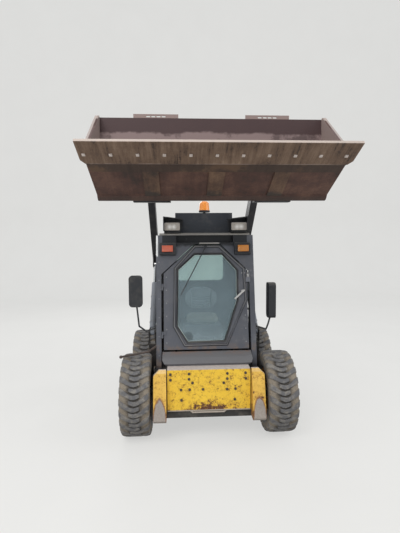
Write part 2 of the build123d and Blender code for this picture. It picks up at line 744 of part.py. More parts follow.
# Tilt cylinders
tilt_eye_y = hinge_y + tilt_set
tilt_eye_z = hinge_z + tilt_crank
tilt_len = math.hypot(tilt_eye_y - tilt_base_y, tilt_eye_z - tilt_base_z)
tilt_uy, tilt_uz = unit(tilt_eye_y - tilt_base_y, tilt_eye_z - tilt_base_z)
for side, word in ((-1, "left"), (1, "right")):
    base = (side * tilt_x, tilt_base_y, tilt_base_z)
    along = (0, tilt_uy, tilt_uz)
    with BuildPart() as barrel:
        with BuildSketch(Plane.YZ.offset(side * (tilt_x - 26))):
            with Locations((tilt_base_y, tilt_base_z)):
                Circle(32)
        extrude(amount=side * 52)
        with BuildSketch(Plane(base, x_dir=(1, 0, 0), z_dir=along).offset(24)):
            Circle(tilt_barrel_r - 6)
        extrude(amount=30)
        with BuildSketch(Plane(base, x_dir=(1, 0, 0), z_dir=along).offset(46)):
            Circle(tilt_barrel_r)
        extrude(amount=14)
        with BuildSketch(Plane(base, x_dir=(1, 0, 0), z_dir=along).offset(46)):
            Circle(tilt_barrel_r)
            Circle(tilt_barrel_r - 5, mode=Mode.SUBTRACT)
        extrude(amount=400)
        with BuildSketch(Plane(base, x_dir=(1, 0, 0), z_dir=along).offset(420)):
            Circle(tilt_barrel_r)
            Circle(tilt_rod_r + pin_gap, mode=Mode.SUBTRACT)
        extrude(amount=30)
        with BuildSketch(Plane.YZ.offset(side * (tilt_x - 40))):
            with Locations((tilt_base_y, tilt_base_z)):
                Circle(14 + pin_gap)
        extrude(amount=side * 80, mode=Mode.SUBTRACT)
    barrel.part.label = "tilt_barrel_" + word
    export_step(barrel.part, "parts/tilt_barrel_" + word + ".step")

    with BuildPart() as rod:
        with BuildSketch(Plane(base, x_dir=(1, 0, 0), z_dir=along).offset(tilt_len - 420)):
            Circle(tilt_rod_r)
        extrude(amount=420 - 15)
        with BuildSketch(Plane.YZ.offset(side * (tilt_x - 16))):
            with Locations((tilt_eye_y, tilt_eye_z)):
                Circle(28)
        extrude(amount=side * 32)
        with BuildSketch(Plane.YZ.offset(side * (tilt_x - 22 + pin_gap))):
            with Locations((tilt_eye_y, tilt_eye_z)):
                Circle(14)
        extrude(amount=side * 2 * (22 - pin_gap))
    rod.part.label = "tilt_rod_" + word
    export_step(rod.part, "parts/tilt_rod_" + word + ".step")

# Bucket
lip_y = front_axle_y - 1420
lip_z = 2662
heel_y = front_axle_y - 860
heel_z = 2383
rim_y = front_axle_y - 717           # top of the back wall
rim_z = 3018
side_rim = [                          # top edge of a side plate, back to front
    (rim_y - 30, rim_z + 16), (front_axle_y - 1105, 2757), (lip_y, lip_z)]


def back_wall(z):
    """Y of the back wall's rear face, up to its knee."""
    return front_axle_y - 752 + (z - 2410) * 10 / 290


with BuildPart() as bucket:
    with BuildSketch(Plane.YZ.offset(-bucket_half)):
        with BuildLine():
            Line((lip_y, lip_z), (heel_y, heel_z))
            ThreePointArc(
                (heel_y, heel_z), (front_axle_y - 785, 2345), (back_wall(2400), 2400))
            Polyline((back_wall(2400), 2400), (back_wall(2700), 2700), (rim_y, rim_z), *side_rim)
        make_face()
    extrude(amount=2 * bucket_half)
    with BuildSketch(Plane.YZ.offset(-bucket_half + bucket_wall)):
        with BuildLine():
            Line((lip_y - 40, lip_z + 29), (heel_y + 3, heel_z + bucket_wall))
            ThreePointArc(
                (heel_y + 3, heel_z + bucket_wall), (front_axle_y - 787, 2354),
                (back_wall(2400) - bucket_wall, 2402))
            Polyline(
                (back_wall(2400) - bucket_wall, 2402), (back_wall(2700) - bucket_wall, 2700),
                (rim_y - bucket_wall, rim_z + 60), (lip_y - 40, rim_z + 60),
                (lip_y - 40, lip_z + 29))
        make_face()
    extrude(amount=2 * (bucket_half - bucket_wall), mode=Mode.SUBTRACT)
    for side in (-1, 1):
        with BuildSketch(Plane.YZ.offset(side * bucket_half)):
            Polygon(
                *side_rim, (lip_y + 60, lip_z - 20), (front_axle_y - 1085, 2712),
                (rim_y - 10, rim_z - 36), align=None)
        extrude(amount=side * (edge_half - bucket_half))
        with BuildSketch(Plane.XZ.offset(-rim_y)):
            with Locations((side * 465, rim_z + 10)):
                Rectangle(370, 62)
            with Locations((side * 465, rim_z + 22)):
                with GridLocations(42, 1, 4, 1):
                    SlotOverall(34, 11, mode=Mode.SUBTRACT)
        extrude(amount=-8)
bucket.part.label = "bucket"
export_step(bucket.part, "parts/bucket.step")

floor_uy, floor_uz = unit(lip_y - heel_y, lip_z - heel_z)
floor_plane = Plane(
    (0, lip_y, lip_z), x_dir=(1, 0, 0), z_dir=(0, -floor_uz, floor_uy))
with BuildPart() as cutting_edge:
    with BuildSketch(floor_plane):
        Polygon(
            (-edge_half, 20), (edge_half, 20), (edge_half, 40 - edge_len),
            (edge_half - 28, -edge_len), (28 - edge_half, -edge_len),
            (-edge_half, 40 - edge_len), align=None)
    extrude(amount=20)
    with BuildSketch(floor_plane):
        Polygon(
            (28 - edge_half, -edge_len), (edge_half - 28, -edge_len),
            (bucket_half - 30, -edge_len - band_len), (30 - bucket_half, -edge_len - band_len),
            align=None)
    extrude(amount=12)
cutting_edge.part.label = "cutting_edge"
export_step(cutting_edge.part, "parts/cutting_edge.step")

strap_top = edge_len + band_len
strap_end = math.hypot(lip_y - heel_y, lip_z - heel_z)
with BuildPart() as wear_straps:
    with BuildSketch(floor_plane):
        with Locations(*[(k * strap_x, -(strap_top + strap_end) / 2) for k in (-1, 0, 1)]):
            Rectangle(strap_w, strap_end - strap_top)
    extrude(amount=10)
wear_straps.part.label = "wear_straps"
export_step(wear_straps.part, "parts/wear_straps.step")

with BuildPart() as coupler:
    for side in (-1, 1):
        for x0 in (arm_in - running_gap - 14, arm_out + running_gap):
            with BuildSketch(Plane.YZ.offset(side * x0)):
                Polygon(
                    (back_wall(2410), 2410), (hinge_y + 10, hinge_z - 48),
                    (hinge_y + 45, hinge_z), (hinge_y + 5, hinge_z + 55),
                    (back_wall(2600), 2600), align=None)
            extrude(amount=side * 14)
        with BuildSketch(Plane.YZ.offset(side * (arm_in - running_gap - 14))):
            with Locations((hinge_y, hinge_z)):
                Circle(hinge_pin_r)
        extrude(amount=side * (arm_out - arm_in + 2 * running_gap + 28))
        for x0 in (tilt_x - 36, tilt_x + 22):
            with BuildSketch(Plane.YZ.offset(side * x0)):
                Polygon(
                    (back_wall(2450), 2450), (hinge_y - 20, 2510),
                    (tilt_eye_y + 32, tilt_eye_z), (tilt_eye_y + 10, tilt_eye_z + 32),
                    (back_wall(2700), 2700), align=None)
            extrude(amount=side * 14)
        for x0 in (arm_in - running_gap - 14, arm_out + running_gap):
            with BuildSketch(Plane.YZ.offset(side * x0)):
                Polygon(
                    (back_wall(2410) + 3, 2345), (hinge_y + 20, 2345), (hinge_y + 10, hinge_z - 40),
                    (back_wall(2420), 2420), align=None)
            extrude(amount=side * 14)
        with Locations((side * 505, (back_wall(2410) + 3 + hinge_y + 20) / 2, 2344)):
            Box(310, hinge_y + 17 - back_wall(2410), 12)
    with BuildSketch(Plane.YZ.offset(-tilt_x + 36)):
        Polygon(
            (back_wall(2410), 2410), (back_wall(2700), 2700),
            (back_wall(2700) + 12, 2700), (back_wall(2410) + 12, 2410), align=None)
    extrude(amount=2 * (tilt_x - 36))
coupler.part.label = "coupler"
export_step(coupler.part, "parts/coupler.step")

# Door
window = [
    (-118, up(1872)), (191, up(1872)), (355, up(1690)), (348, up(1362)),
    (200, up(935)), (-205, up(930)), (-319, up(1102)), (-305, up(1703))]
window_frame = [
    (-112, up(1956)), (155, up(1954)), (424, up(1708)), (442, up(1366)),
    (222, up(898)), (-236, up(896)), (-350, up(1100)), (-336, up(1712))]
frame_thick = 8
bead_high = 5
wiper_foot = frame_thick + bead_high - 2
door_outline = [
    (-455, up(858)), (455, up(858)), (455, up(1686)), (165, up(1964)),
    (-115, up(1964)), (-455, up(1660))]
with BuildPart() as door:
    with BuildSketch(front_plane.offset(-36)):
        Polygon(*door_outline, align=None)
        Polygon(*window, align=None, mode=Mode.SUBTRACT)
    extrude(amount=34)
    with BuildSketch(front_plane.offset(-2)):
        Polygon(*window_frame, align=None)
        Polygon(*window, align=None, mode=Mode.SUBTRACT)
    extrude(amount=frame_thick)
    with BuildSketch(front_plane.offset(-2)):
        bead = Polygon(*window_frame, align=None)
        offset(bead, amount=-14, kind=Kind.INTERSECTION, mode=Mode.SUBTRACT)
    extrude(amount=frame_thick + bead_high)
    for z0 in door_hinge_z:
        with BuildSketch(door_hinge_plane.offset(up(z0) + hinge_len + 0.5)):
            with Locations((door_hinge_x, 0)):
                Circle(hinge_r)
            with Locations((door_hinge_x + 20, 7.5)):
                Rectangle(40, 11)
            with Locations((door_hinge_x, 0)):
                Circle(hinge_pin + pin_gap, mode=Mode.SUBTRACT)
        extrude(amount=hinge_len)
door.part.label = "door"
export_step(door.part, "parts/door.step")

with BuildPart() as door_glass:
    with BuildSketch(front_plane.offset(-24)):
        Polygon(*window, align=None)
    extrude(amount=6)
door_glass.part.label = "door_glass"
export_step(door_glass.part, "parts/door_glass.step")

with BuildPart() as door_handle:
    with BuildSketch(front_plane.offset(frame_thick - 2)):
        with Locations((403, up(1462))):
            Circle(16)
    extrude(amount=8)
    with BuildSketch(front_plane.offset(frame_thick + 6)):
        with Locations(Location((367, up(1426), 0), (0, 0, 42))):
            SlotOverall(150, 18)
    extrude(amount=14)
door_handle.part.label = "door_handle"
export_step(door_handle.part, "parts/door_handle.step")

with BuildPart() as wiper:
    with BuildSketch(front_plane.offset(wiper_foot)):
        with Locations((5, up(1941))):
            Circle(18)
    extrude(amount=20)
    with BuildSketch(front_plane.offset(wiper_foot + 8)):
        Polygon((12, up(1941)), (-268, up(1420)), (-278, up(1424)), (-2, up(1941)), align=None)
    extrude(amount=8)
wiper.part.label = "wiper"
export_step(wiper.part, "parts/wiper.step")

# Engine hood and rear door
hood_front = bay_front + 24
hood_rear = tower_rear - 14
with BuildPart() as hood:
    with BuildSketch(Plane.YZ.offset(-tower_out + tower_t + 8)):
        Polygon(
            (hood_front, 1292), (hood_front, 1322), (hood_front + 70, 1340),
            (hood_rear - 80, 1310), (hood_rear, 1252), (hood_rear, 1170),
            (hood_rear - 10, 1170), (hood_rear - 10, 1245), (hood_rear - 84, 1298),
            (hood_front + 71, 1328), (hood_front + 10, 1314), (hood_front + 10, 1292),
            align=None)
    extrude(amount=2 * (tower_out - tower_t - 8))
    for side in (-1, 1):
        with BuildSketch(Plane.YZ.offset(side * (300 + hinge_len + 0.5))):
            with Locations((hood_hinge_y, hood_hinge_z)):
                Circle(hinge_r)
            with Locations((hood_hinge_y + 10, hood_hinge_z + 2)):
                Rectangle(20, 10)
            with Locations((hood_hinge_y, hood_hinge_z)):
                Circle(hinge_pin + pin_gap, mode=Mode.SUBTRACT)
        extrude(amount=side * hinge_len)
hood.part.label = "hood"
export_step(hood.part, "parts/hood.step")

with BuildPart() as rear_door:
    with BuildSketch(Plane.XZ.offset(-(tower_rear + 6))):
        with Locations((0, (590 + 1160) / 2)):
            Rectangle(2 * (tower_out - 12), 1160 - 590)
        with Locations((0, 890)):
            with GridLocations(1, 56, 1, 7):
                SlotOverall(700, 26, mode=Mode.SUBTRACT)
    extrude(amount=-34)
    for z0 in rear_hinge_z:
        with BuildSketch(Plane.XY.offset(z0 + hinge_len + 0.5)):
            with Locations((rear_hinge_x, rear_hinge_y)):
                Circle(hinge_r)
            with Locations((rear_hinge_x - 14, rear_hinge_y + 1)):
                Rectangle(28, 10)
            with Locations((rear_hinge_x, rear_hinge_y)):
                Circle(hinge_pin + pin_gap, mode=Mode.SUBTRACT)
        extrude(amount=hinge_len)
rear_door.part.label = "rear_door"
export_step(rear_door.part, "parts/rear_door.step")
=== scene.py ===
"""A skid steer loader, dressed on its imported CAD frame.  Metres, Z up, the front faces -Y."""
import json
import math

import bpy
import numpy as np
from mathutils import Matrix, Vector


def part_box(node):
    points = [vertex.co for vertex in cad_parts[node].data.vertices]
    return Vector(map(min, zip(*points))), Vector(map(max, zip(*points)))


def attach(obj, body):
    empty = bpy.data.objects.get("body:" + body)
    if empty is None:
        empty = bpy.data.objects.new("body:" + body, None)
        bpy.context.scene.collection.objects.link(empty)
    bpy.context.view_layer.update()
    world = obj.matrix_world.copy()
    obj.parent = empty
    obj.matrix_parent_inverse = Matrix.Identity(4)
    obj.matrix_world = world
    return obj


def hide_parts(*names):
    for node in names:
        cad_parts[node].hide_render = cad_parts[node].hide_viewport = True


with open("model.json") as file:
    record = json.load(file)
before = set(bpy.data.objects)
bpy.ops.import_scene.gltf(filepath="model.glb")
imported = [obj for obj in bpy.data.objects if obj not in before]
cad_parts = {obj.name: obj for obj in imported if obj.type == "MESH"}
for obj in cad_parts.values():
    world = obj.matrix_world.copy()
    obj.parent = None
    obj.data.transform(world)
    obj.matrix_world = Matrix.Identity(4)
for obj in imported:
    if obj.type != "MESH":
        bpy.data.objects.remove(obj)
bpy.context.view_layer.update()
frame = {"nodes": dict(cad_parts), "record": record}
nodes = frame["nodes"]
place = {j["name"]: np.array(j.get("pos_m", (0, 0, 0))) for j in frame["record"]["behaviour"]["joints"]}
front_axle = place["wheel_fl_spin"][1]

# Floor, backdrop and camera: a plain pale sheet that bends up behind, under
# soft daylight.  The camera stands at head height in front, a little to the
# left, and was fitted to the places of the four wheels.


def linear(colour):
    """An sRGB hex colour as linear values: dark ones a plain share, others a power of 2.4."""
    coded = np.array([int(colour[i:i + 2], 16) for i in (1, 3, 5)]) / 255
    return (*np.where(coded <= 0.04045, coded / 12.92, ((coded + 0.055) / 1.055) ** 2.4).tolist(), 1.0)


def add(tree, kind, inputs=None, **settings):
    """Adds one shader node to a tree.  An input is a value, a socket, or a node for its first output."""
    made = tree.nodes.new("ShaderNode" + kind)
    for name, value in settings.items():
        setattr(made, name, value)
    for name, value in (inputs or {}).items():
        if isinstance(value, bpy.types.Node):
            value = value.outputs[0]
        if isinstance(value, bpy.types.NodeSocket):
            tree.links.new(value, made.inputs[name])
        else:
            made.inputs[name].default_value = value
    return made


def new_material(name):
    """An empty node material and its tree."""
    material = bpy.data.materials.new(name)
    material.use_nodes = True
    material.node_tree.nodes.clear()
    return material, material.node_tree


def finish_with(material, shader):
    """Wires a shader to the material's output."""
    add(material.node_tree, "OutputMaterial", {"Surface": shader})
    return material


def linked(name, mesh, material):
    """Puts a mesh into the scene as an object with one material."""
    mesh.materials.append(material)
    made = bpy.data.objects.new(name, mesh)
    bpy.context.collection.objects.link(made)
    return made


eye = np.array([-0.286, front_axle - 3.999, 2.015])
yaw, pitch, roll = np.radians([3.10, 3.83, -0.38])
focal_px, photo_w = 386.5, 400
level = np.array([math.sin(yaw), math.cos(yaw), 0])
across = np.array([math.cos(yaw), -math.sin(yaw), 0])
upright = np.array([0, 0, 1])
view = level * math.cos(pitch) - upright * math.sin(pitch)
lift = upright * math.cos(pitch) + level * math.sin(pitch)
right = across * math.cos(roll) + lift * math.sin(roll)
top = lift * math.cos(roll) - across * math.sin(roll)
camera = bpy.data.objects.new("camera", bpy.data.cameras.new("camera"))
turn = Matrix((right, top, -view)).transposed().to_4x4()
turn.translation = Vector(eye)
camera.matrix_world = turn
camera.data.sensor_fit = "HORIZONTAL"
camera.data.sensor_width = 36
camera.data.lens = focal_px / photo_w * camera.data.sensor_width
camera.data.clip_end = 200
bpy.context.collection.objects.link(camera)
bpy.context.scene.camera = camera


def seen_pale(tree, shaded, pale, share):
    """A surface that the camera, reflections and glass see partly as plain pale light."""
    path = add(tree, "LightPath").outputs
    seen = add(tree, "Math", {0: path["Is Camera Ray"], 1: path["Is Glossy Ray"]}, operation="MAXIMUM")
    seen = add(tree, "Math", {0: seen, 1: path["Is Transmission Ray"]}, operation="MAXIMUM")
    part = add(tree, "Math", {0: seen, 1: share}, operation="MULTIPLY")
    glow = add(tree, "Emission", {"Color": linear(pale), "Strength": 1.0})
    return add(tree, "MixShader", {0: part, 1: shaded, 2: glow})


pale_floor, tree = new_material("poured_floor")
floor_coords = add(tree, "TexCoord").outputs["Object"]
floor_noise = add(tree, "TexNoise", {"Vector": floor_coords, "Scale": 1.2, "Detail": 5.0})
floor_tone = add(tree, "MixRGB", {
    "Fac": floor_noise, "Color1": linear("#C4C2BE"), "Color2": linear("#D2D0CC")})
floor_matt = add(tree, "BsdfPrincipled", {"Base Color": floor_tone, "Roughness": 0.85})
finish_with(pale_floor, seen_pale(tree, floor_matt, "#F1F1EF", 0.62))

# The floor runs flat to reach_back, then bends up by a quarter circle and stands.
sweep = np.linspace(0, 1, 33)
reach_front, reach_back, bend_r, half_width, wall_top = -14, 9.0, 3.0, 20, 12.0
bend = np.clip(sweep - 0.5, 0, None) * math.pi
flat_y = reach_front + sweep * 2 * (reach_back - reach_front)
floor_y = np.append(np.where(sweep < 0.5, flat_y, reach_back + bend_r * np.sin(bend)), reach_back + bend_r)
floor_z = np.append(bend_r * (1 - np.cos(bend)), wall_top)
floor_points = [(x, y, z) for y, z in zip(floor_y, floor_z) for x in (-half_width, half_width)]
floor_faces = [(2 * i, 2 * i + 1, 2 * i + 3, 2 * i + 2) for i in range(len(floor_y) - 1)]
floor_mesh = bpy.data.meshes.new("floor")
floor_mesh.from_pydata(floor_points, [], floor_faces)
floor_mesh.polygons.foreach_set("use_smooth", [True] * len(floor_faces))
floor = linked("floor", floor_mesh, pale_floor)

sky = bpy.data.worlds.new("overcast")
sky.use_nodes = True
tree = sky.node_tree
daylight = tree.nodes["Background"]
daylight.inputs["Color"].default_value = linear("#EEF2F6")
daylight.inputs["Strength"].default_value = 0.85
world_pale = add(tree, "Background", {"Color": linear("#F1F1EF"), "Strength": 1.0})
world_seen = add(tree, "MixShader", {0: add(tree, "LightPath").outputs["Is Camera Ray"],
                                     1: daylight, 2: world_pale})
tree.links.new(world_seen.outputs[0], tree.nodes["World Output"].inputs["Surface"])
bpy.context.scene.world = sky
for name, spot, aim, size, watts in (
        ("sky_panel", (-3.0, -6.0, 6.5), (0, 0, 1.2), 5.0, 430),
        ("right_panel", (6.0, -2.5, 4.5), (0, 0, 1.0), 4.0, 130),
        ("rear_panel", (-1.5, 6.5, 5.0), (0, 0, 1.5), 4.0, 130)):
    light = bpy.data.objects.new(name, bpy.data.lights.new(name, "AREA"))
    light.data.shape = "SQUARE"
    light.data.size = size
    light.data.energy = watts
    light.location = spot
    light.rotation_euler = (Vector(aim) - Vector(spot)).to_track_quat("-Z", "Y").to_euler()
    bpy.context.collection.objects.link(light)
bpy.context.scene.view_settings.view_transform = "Standard"

# Chassis box, towers, arms and covers: folded and welded steel plate in
# sprayed enamel, dark and weathered.  It is rubbed through to primer and
# rust in spots, and dust has settled on every upward face.

lip_y, lip_z = front_axle - 1.420, 2.662
floor_run = np.array([-0.560, 0.279]) / math.hypot(0.560, 0.279)


def zoned(tree, texture, colour, noise, zones):
    """Lays more colours over one.  A zone is (colour, share, limits), and a limit is (quantity, a, b):
    the share rises from none where the quantity is a to all of it where it is b.  "along" is the
    distance back from the bucket's lip along its floor, and "ragged" quantities carry the noise."""
    spot = add(tree, "SeparateXYZ", {0: texture["Object"]}).outputs
    normal = add(tree, "SeparateXYZ", {0: texture["Normal"]}).outputs
    drop = add(tree, "Math", {0: spot["Z"], 1: floor_run[1], 2: -lip_z * floor_run[1]},
               operation="MULTIPLY_ADD")
    along = add(tree, "Math", {0: spot["Y"], 1: floor_run[0], 2: drop}, operation="MULTIPLY_ADD")
    quantity = {
        "x": spot["X"], "y": spot["Y"], "z": spot["Z"], "facing_y": normal["Y"], "up": normal["Z"],
        "side": add(tree, "Math", {0: spot["X"]}, operation="ABSOLUTE"),
        "facing_x": add(tree, "Math", {0: normal["X"]}, operation="ABSOLUTE"),
        "ragged": noise,
        "ragged_z": add(tree, "Math", {0: noise, 1: 0.12, 2: spot["Z"]}, operation="MULTIPLY_ADD"),
        "along": add(tree, "Math", {0: floor_run[0] * lip_y, 1: along}, operation="SUBTRACT")}
    for shade, share, limits in zones:
        amount = share
        for what, none, full in limits:
            part = add(tree, "MapRange", {"Value": quantity[what], "From Min": none, "From Max": full})
            amount = add(tree, "Math", {0: part, 1: amount}, operation="MULTIPLY")
        colour = add(tree, "MixRGB", {"Fac": amount, "Color1": colour, "Color2": linear(shade)})
    return colour


def old_paint(name, paint, shade, rust="#6B3A22", chips=0.35, dusty=0.35, rough=0.42, grain=90.0, zones=()):
    """Enamel in two tones, in clouds of about 400 mm.  Rust shows where patches of 110 mm meet a grain of
    1 / `grain` metres, which is coarser than real so that it shows.  Dust then lies on the faces that look
    up, and the zones come last."""
    material, tree = new_material(name)
    texture = add(tree, "TexCoord").outputs
    coords = texture["Object"]
    broad = add(tree, "TexNoise", {"Vector": coords, "Scale": 2.6, "Detail": 6.0, "Roughness": 0.6})
    fine = add(tree, "TexNoise", {"Vector": coords, "Scale": grain, "Detail": 4.0, "Roughness": 0.65})
    patch = add(tree, "TexNoise", {"Vector": coords, "Scale": 9.0, "Detail": 8.0, "Roughness": 0.7})
    tone = add(tree, "MixRGB", {"Fac": broad, "Color1": linear(paint), "Color2": linear(shade)})
    spots = add(tree, "Math", {0: fine, 1: patch}, operation="MULTIPLY")
    sound = 0.52 - 0.2 * chips
    rubbed = add(tree, "MapRange", {"Value": spots, "From Min": sound, "From Max": sound + 0.04})
    colour = add(tree, "MixRGB", {"Fac": rubbed, "Color1": tone, "Color2": linear(rust)})
    upward = add(tree, "SeparateXYZ", {0: texture["Normal"]}).outputs["Z"]
    settled = add(tree, "MapRange", {"Value": upward, "From Min": 0.2, "From Max": 1.0, "To Max": dusty})
    smears = add(tree, "MapRange", {"Value": patch, "From Min": 0.48, "From Max": 0.72,
                                    "To Max": 0.6 * dusty})
    film = add(tree, "Math", {0: settled, 1: smears}, operation="MAXIMUM")
    colour = add(tree, "MixRGB", {"Fac": film, "Color1": colour, "Color2": linear("#8A8378")})
    colour = zoned(tree, texture, colour, patch, zones)
    sheen = add(tree, "MapRange", {"Value": broad, "From Min": 0.3, "From Max": 0.7,
                                   "To Min": rough - 0.08, "To Max": rough + 0.16})
    height = add(tree, "Math", {0: fine, 1: rubbed}, operation="SUBTRACT")
    bump = add(tree, "Bump", {"Height": height, "Strength": 0.18, "Distance": 0.002})
    return finish_with(material, add(tree, "BsdfPrincipled", {
        "Base Color": colour, "Roughness": sheen, "Normal": bump}))


def dress(material, *names):
    """Gives CAD nodes one material."""
    for name in names:
        nodes[name].data.materials.clear()
        nodes[name].data.materials.append(material)


# One enamel in three states: brown-black with dust, blacker on the arms, greyer on the covers.
frame_enamel = old_paint("frame_enamel", "#33312F", "#262423", chips=0.5, dusty=0.45, rough=0.6)
arm_enamel = old_paint("arm_enamel", "#232327", "#1B1B1F", chips=0.25, dusty=0.15)
cover_enamel = old_paint("cover_enamel", "#4A4A4F", "#3C3C41", chips=0.3, dusty=0.3)
dress(frame_enamel, "frame", "axle_sleeves", "lift_brackets", "bumper", "engine")
dress(arm_enamel, "arm_left", "arm_right", "cross_tube", "side_screens", "coupler", "towers")
dress(cover_enamel, "hood", "rear_door", "cab_floor", "seat_base")

# Front plate and boom stops: thick plate in chalky yellow enamel, chipped to
# primer and rust, worst round the bolts and along the lower edge.  The arms
# have rubbed an arch of bare steel into each stop.


def yellow_enamel(name, pale, strong, scraped_z, scraped_w, scraped_h, middle=0.0, arch=False):
    """Yellow enamel, worn most in an ellipse of half width scraped_w and half height scraped_h.  Its
    centre is at height scraped_z, `middle` from the middle plane.  With arch the steel inside is bare,
    and without it there are only more spots of rust.  The mottle is 40 mm coarse, and the specks are
    drawn at 10 mm so that they show."""
    material, tree = new_material(name)
    texture = add(tree, "TexCoord").outputs
    coords = texture["Object"]
    axes = add(tree, "SeparateXYZ", {0: coords}).outputs
    broad = add(tree, "TexNoise", {"Vector": coords, "Scale": 5.0, "Detail": 5.0})
    mottle = add(tree, "TexNoise", {"Vector": coords, "Scale": 26.0, "Detail": 9.0, "Roughness": 0.74})
    speck = add(tree, "TexNoise", {"Vector": coords, "Scale": 95.0, "Detail": 5.0, "Roughness": 0.7})
    base = add(tree, "MixRGB", {"Fac": broad, "Color1": linear(pale), "Color2": linear(strong)})
    sideways = add(tree, "Math", {0: axes["X"]}, operation="ABSOLUTE")
    off_x = add(tree, "Math", {0: sideways, 1: middle}, operation="SUBTRACT")
    off_x = add(tree, "Math", {0: off_x, 1: scraped_w}, operation="DIVIDE")
    off_z = add(tree, "Math", {0: axes["Z"], 1: scraped_z}, operation="SUBTRACT")
    off_z = add(tree, "Math", {0: off_z, 1: scraped_h}, operation="DIVIDE")
    ellipse = add(tree, "Math", {0: off_x, 1: off_x}, operation="MULTIPLY")
    ellipse = add(tree, "Math", {0: off_z, 1: off_z, 2: ellipse}, operation="MULTIPLY_ADD")
    near = add(tree, "MapRange", {"Value": ellipse, "From Max": 1.8, "To Min": 0.14, "To Max": 0.0})
    low = add(tree, "MapRange", {"Value": axes["Z"], "From Min": 0.33, "From Max": 0.45,
                                 "To Min": 0.06, "To Max": 0.0})
    spots = add(tree, "Math", {0: mottle, 1: near}, operation="ADD")
    spots = add(tree, "Math", {0: spots, 1: low}, operation="ADD")
    spots = add(tree, "Math", {0: speck, 1: 0.35, 2: spots}, operation="MULTIPLY_ADD")
    stain = add(tree, "MapRange", {"Value": spots, "From Min": 0.66, "From Max": 0.80, "To Max": 0.75})
    red = add(tree, "MapRange", {"Value": spots, "From Min": 0.78, "From Max": 0.82})
    colour = add(tree, "MixRGB", {"Fac": stain, "Color1": base, "Color2": linear("#A8792C")})
    colour = add(tree, "MixRGB", {"Fac": red, "Color1": colour, "Color2": linear("#54301C")})
    upward = add(tree, "SeparateXYZ", {0: texture["Normal"]}).outputs["Z"]
    flange = add(tree, "MapRange", {"Value": upward, "From Min": 0.5, "From Max": 0.8})
    worn = add(tree, "MixRGB", {"Fac": mottle, "Color1": linear("#DAD6D1"), "Color2": linear("#9B8271")})
    colour = add(tree, "MixRGB", {"Fac": flange, "Color1": colour, "Color2": worn})
    if arch:
        rim = add(tree, "Math", {0: mottle, 1: 0.8, 2: ellipse}, operation="MULTIPLY_ADD")
        bare = add(tree, "MapRange", {"Value": rim, "From Min": 1.32, "From Max": 1.42,
                                      "To Min": 1.0, "To Max": 0.0})
        edge = add(tree, "MapRange", {"Value": rim, "From Min": 1.42, "From Max": 1.7,
                                      "To Min": 1.0, "To Max": 0.0})
        colour = add(tree, "MixRGB", {"Fac": edge, "Color1": colour, "Color2": linear("#7A5038")})
        steel = add(tree, "MixRGB", {"Fac": speck, "Color1": linear("#6D625A"), "Color2": linear("#ABA299")})
        colour = add(tree, "MixRGB", {"Fac": bare, "Color1": colour, "Color2": steel})
    else:
        loop = add(tree, "MapRange", {"Value": axes["Z"], "From Min": 0.334, "From Max": 0.328})
        colour = add(tree, "MixRGB", {"Fac": loop, "Color1": colour, "Color2": linear("#A3988C")})
    drop = add(tree, "Math", {0: 0.0, 1: red}, operation="SUBTRACT")
    bump = add(tree, "Bump", {"Height": drop, "Strength": 0.35, "Distance": 0.0015})
    rough = add(tree, "MapRange", {"Value": stain, "To Min": 0.42, "To Max": 0.8})
    return finish_with(material, add(tree, "BsdfPrincipled", {
        "Base Color": colour, "Roughness": rough, "Normal": bump}))


dress(yellow_enamel("plate_enamel", "#E9C23A", "#DDB02B", 0.345, 0.17, 0.07), "front_plate")
dress(yellow_enamel("stop_enamel", "#DDB551", "#CDA03C", 0.24, 0.062, 0.23, middle=0.489, arch=True),
      "boom_stops")


def put(piece, body, slot, *replaced):
    """Rides a piece on its body and hides the CAD nodes it stands for.  `slot` is not used."""
    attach(piece, body)
    if replaced:
        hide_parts(*replaced)


def studs(name, spots, out, radius, height, sides, material, body, slot, twist=0.0):
    """Bolt heads in one mesh, pointing along `out`.  Each has four rings of `sides` points, at its foot,
    two at its shoulder and one at its crown, and one face closes each end."""
    spots = np.array(spots, float).reshape(-1, 3)
    out = np.array(out, float) / np.linalg.norm(out)
    u = np.cross(out, (1, 0, 0) if abs(out[0]) < 0.9 else (0, 1, 0))
    u = u / np.linalg.norm(u)
    v = np.cross(out, u)
    angle = np.arange(sides) / sides * 2 * math.pi + twist
    ring = np.cos(angle)[:, None] * u + np.sin(angle)[:, None] * v
    levels = np.array([(1.0, -0.002), (1.0, height * 0.75), (0.86, height), (0.02, height * 1.06)])
    verts = (spots[:, None, None] + levels[None, :, None, 0, None] * radius * ring[None, None]
             + levels[None, :, None, 1, None] * out).reshape(-1, 3)
    k = np.arange(sides)
    base = np.arange(len(spots))[:, None, None] * 4 * sides + np.arange(3)[None, :, None] * sides
    after = (k + 1) % sides
    quads = np.stack([base + k, base + after, base + after + sides, base + k + sides], -1)
    feet = (base[:, :1, 0] + k[::-1]).tolist()
    crowns = (base[:, :1, 0] + 3 * sides + k).tolist()
    mesh = bpy.data.meshes.new(name)
    mesh.from_pydata(verts.tolist(), [], quads.reshape(-1, 4).tolist() + feet + crowns)
    put(linked(name, mesh, material), body, slot)


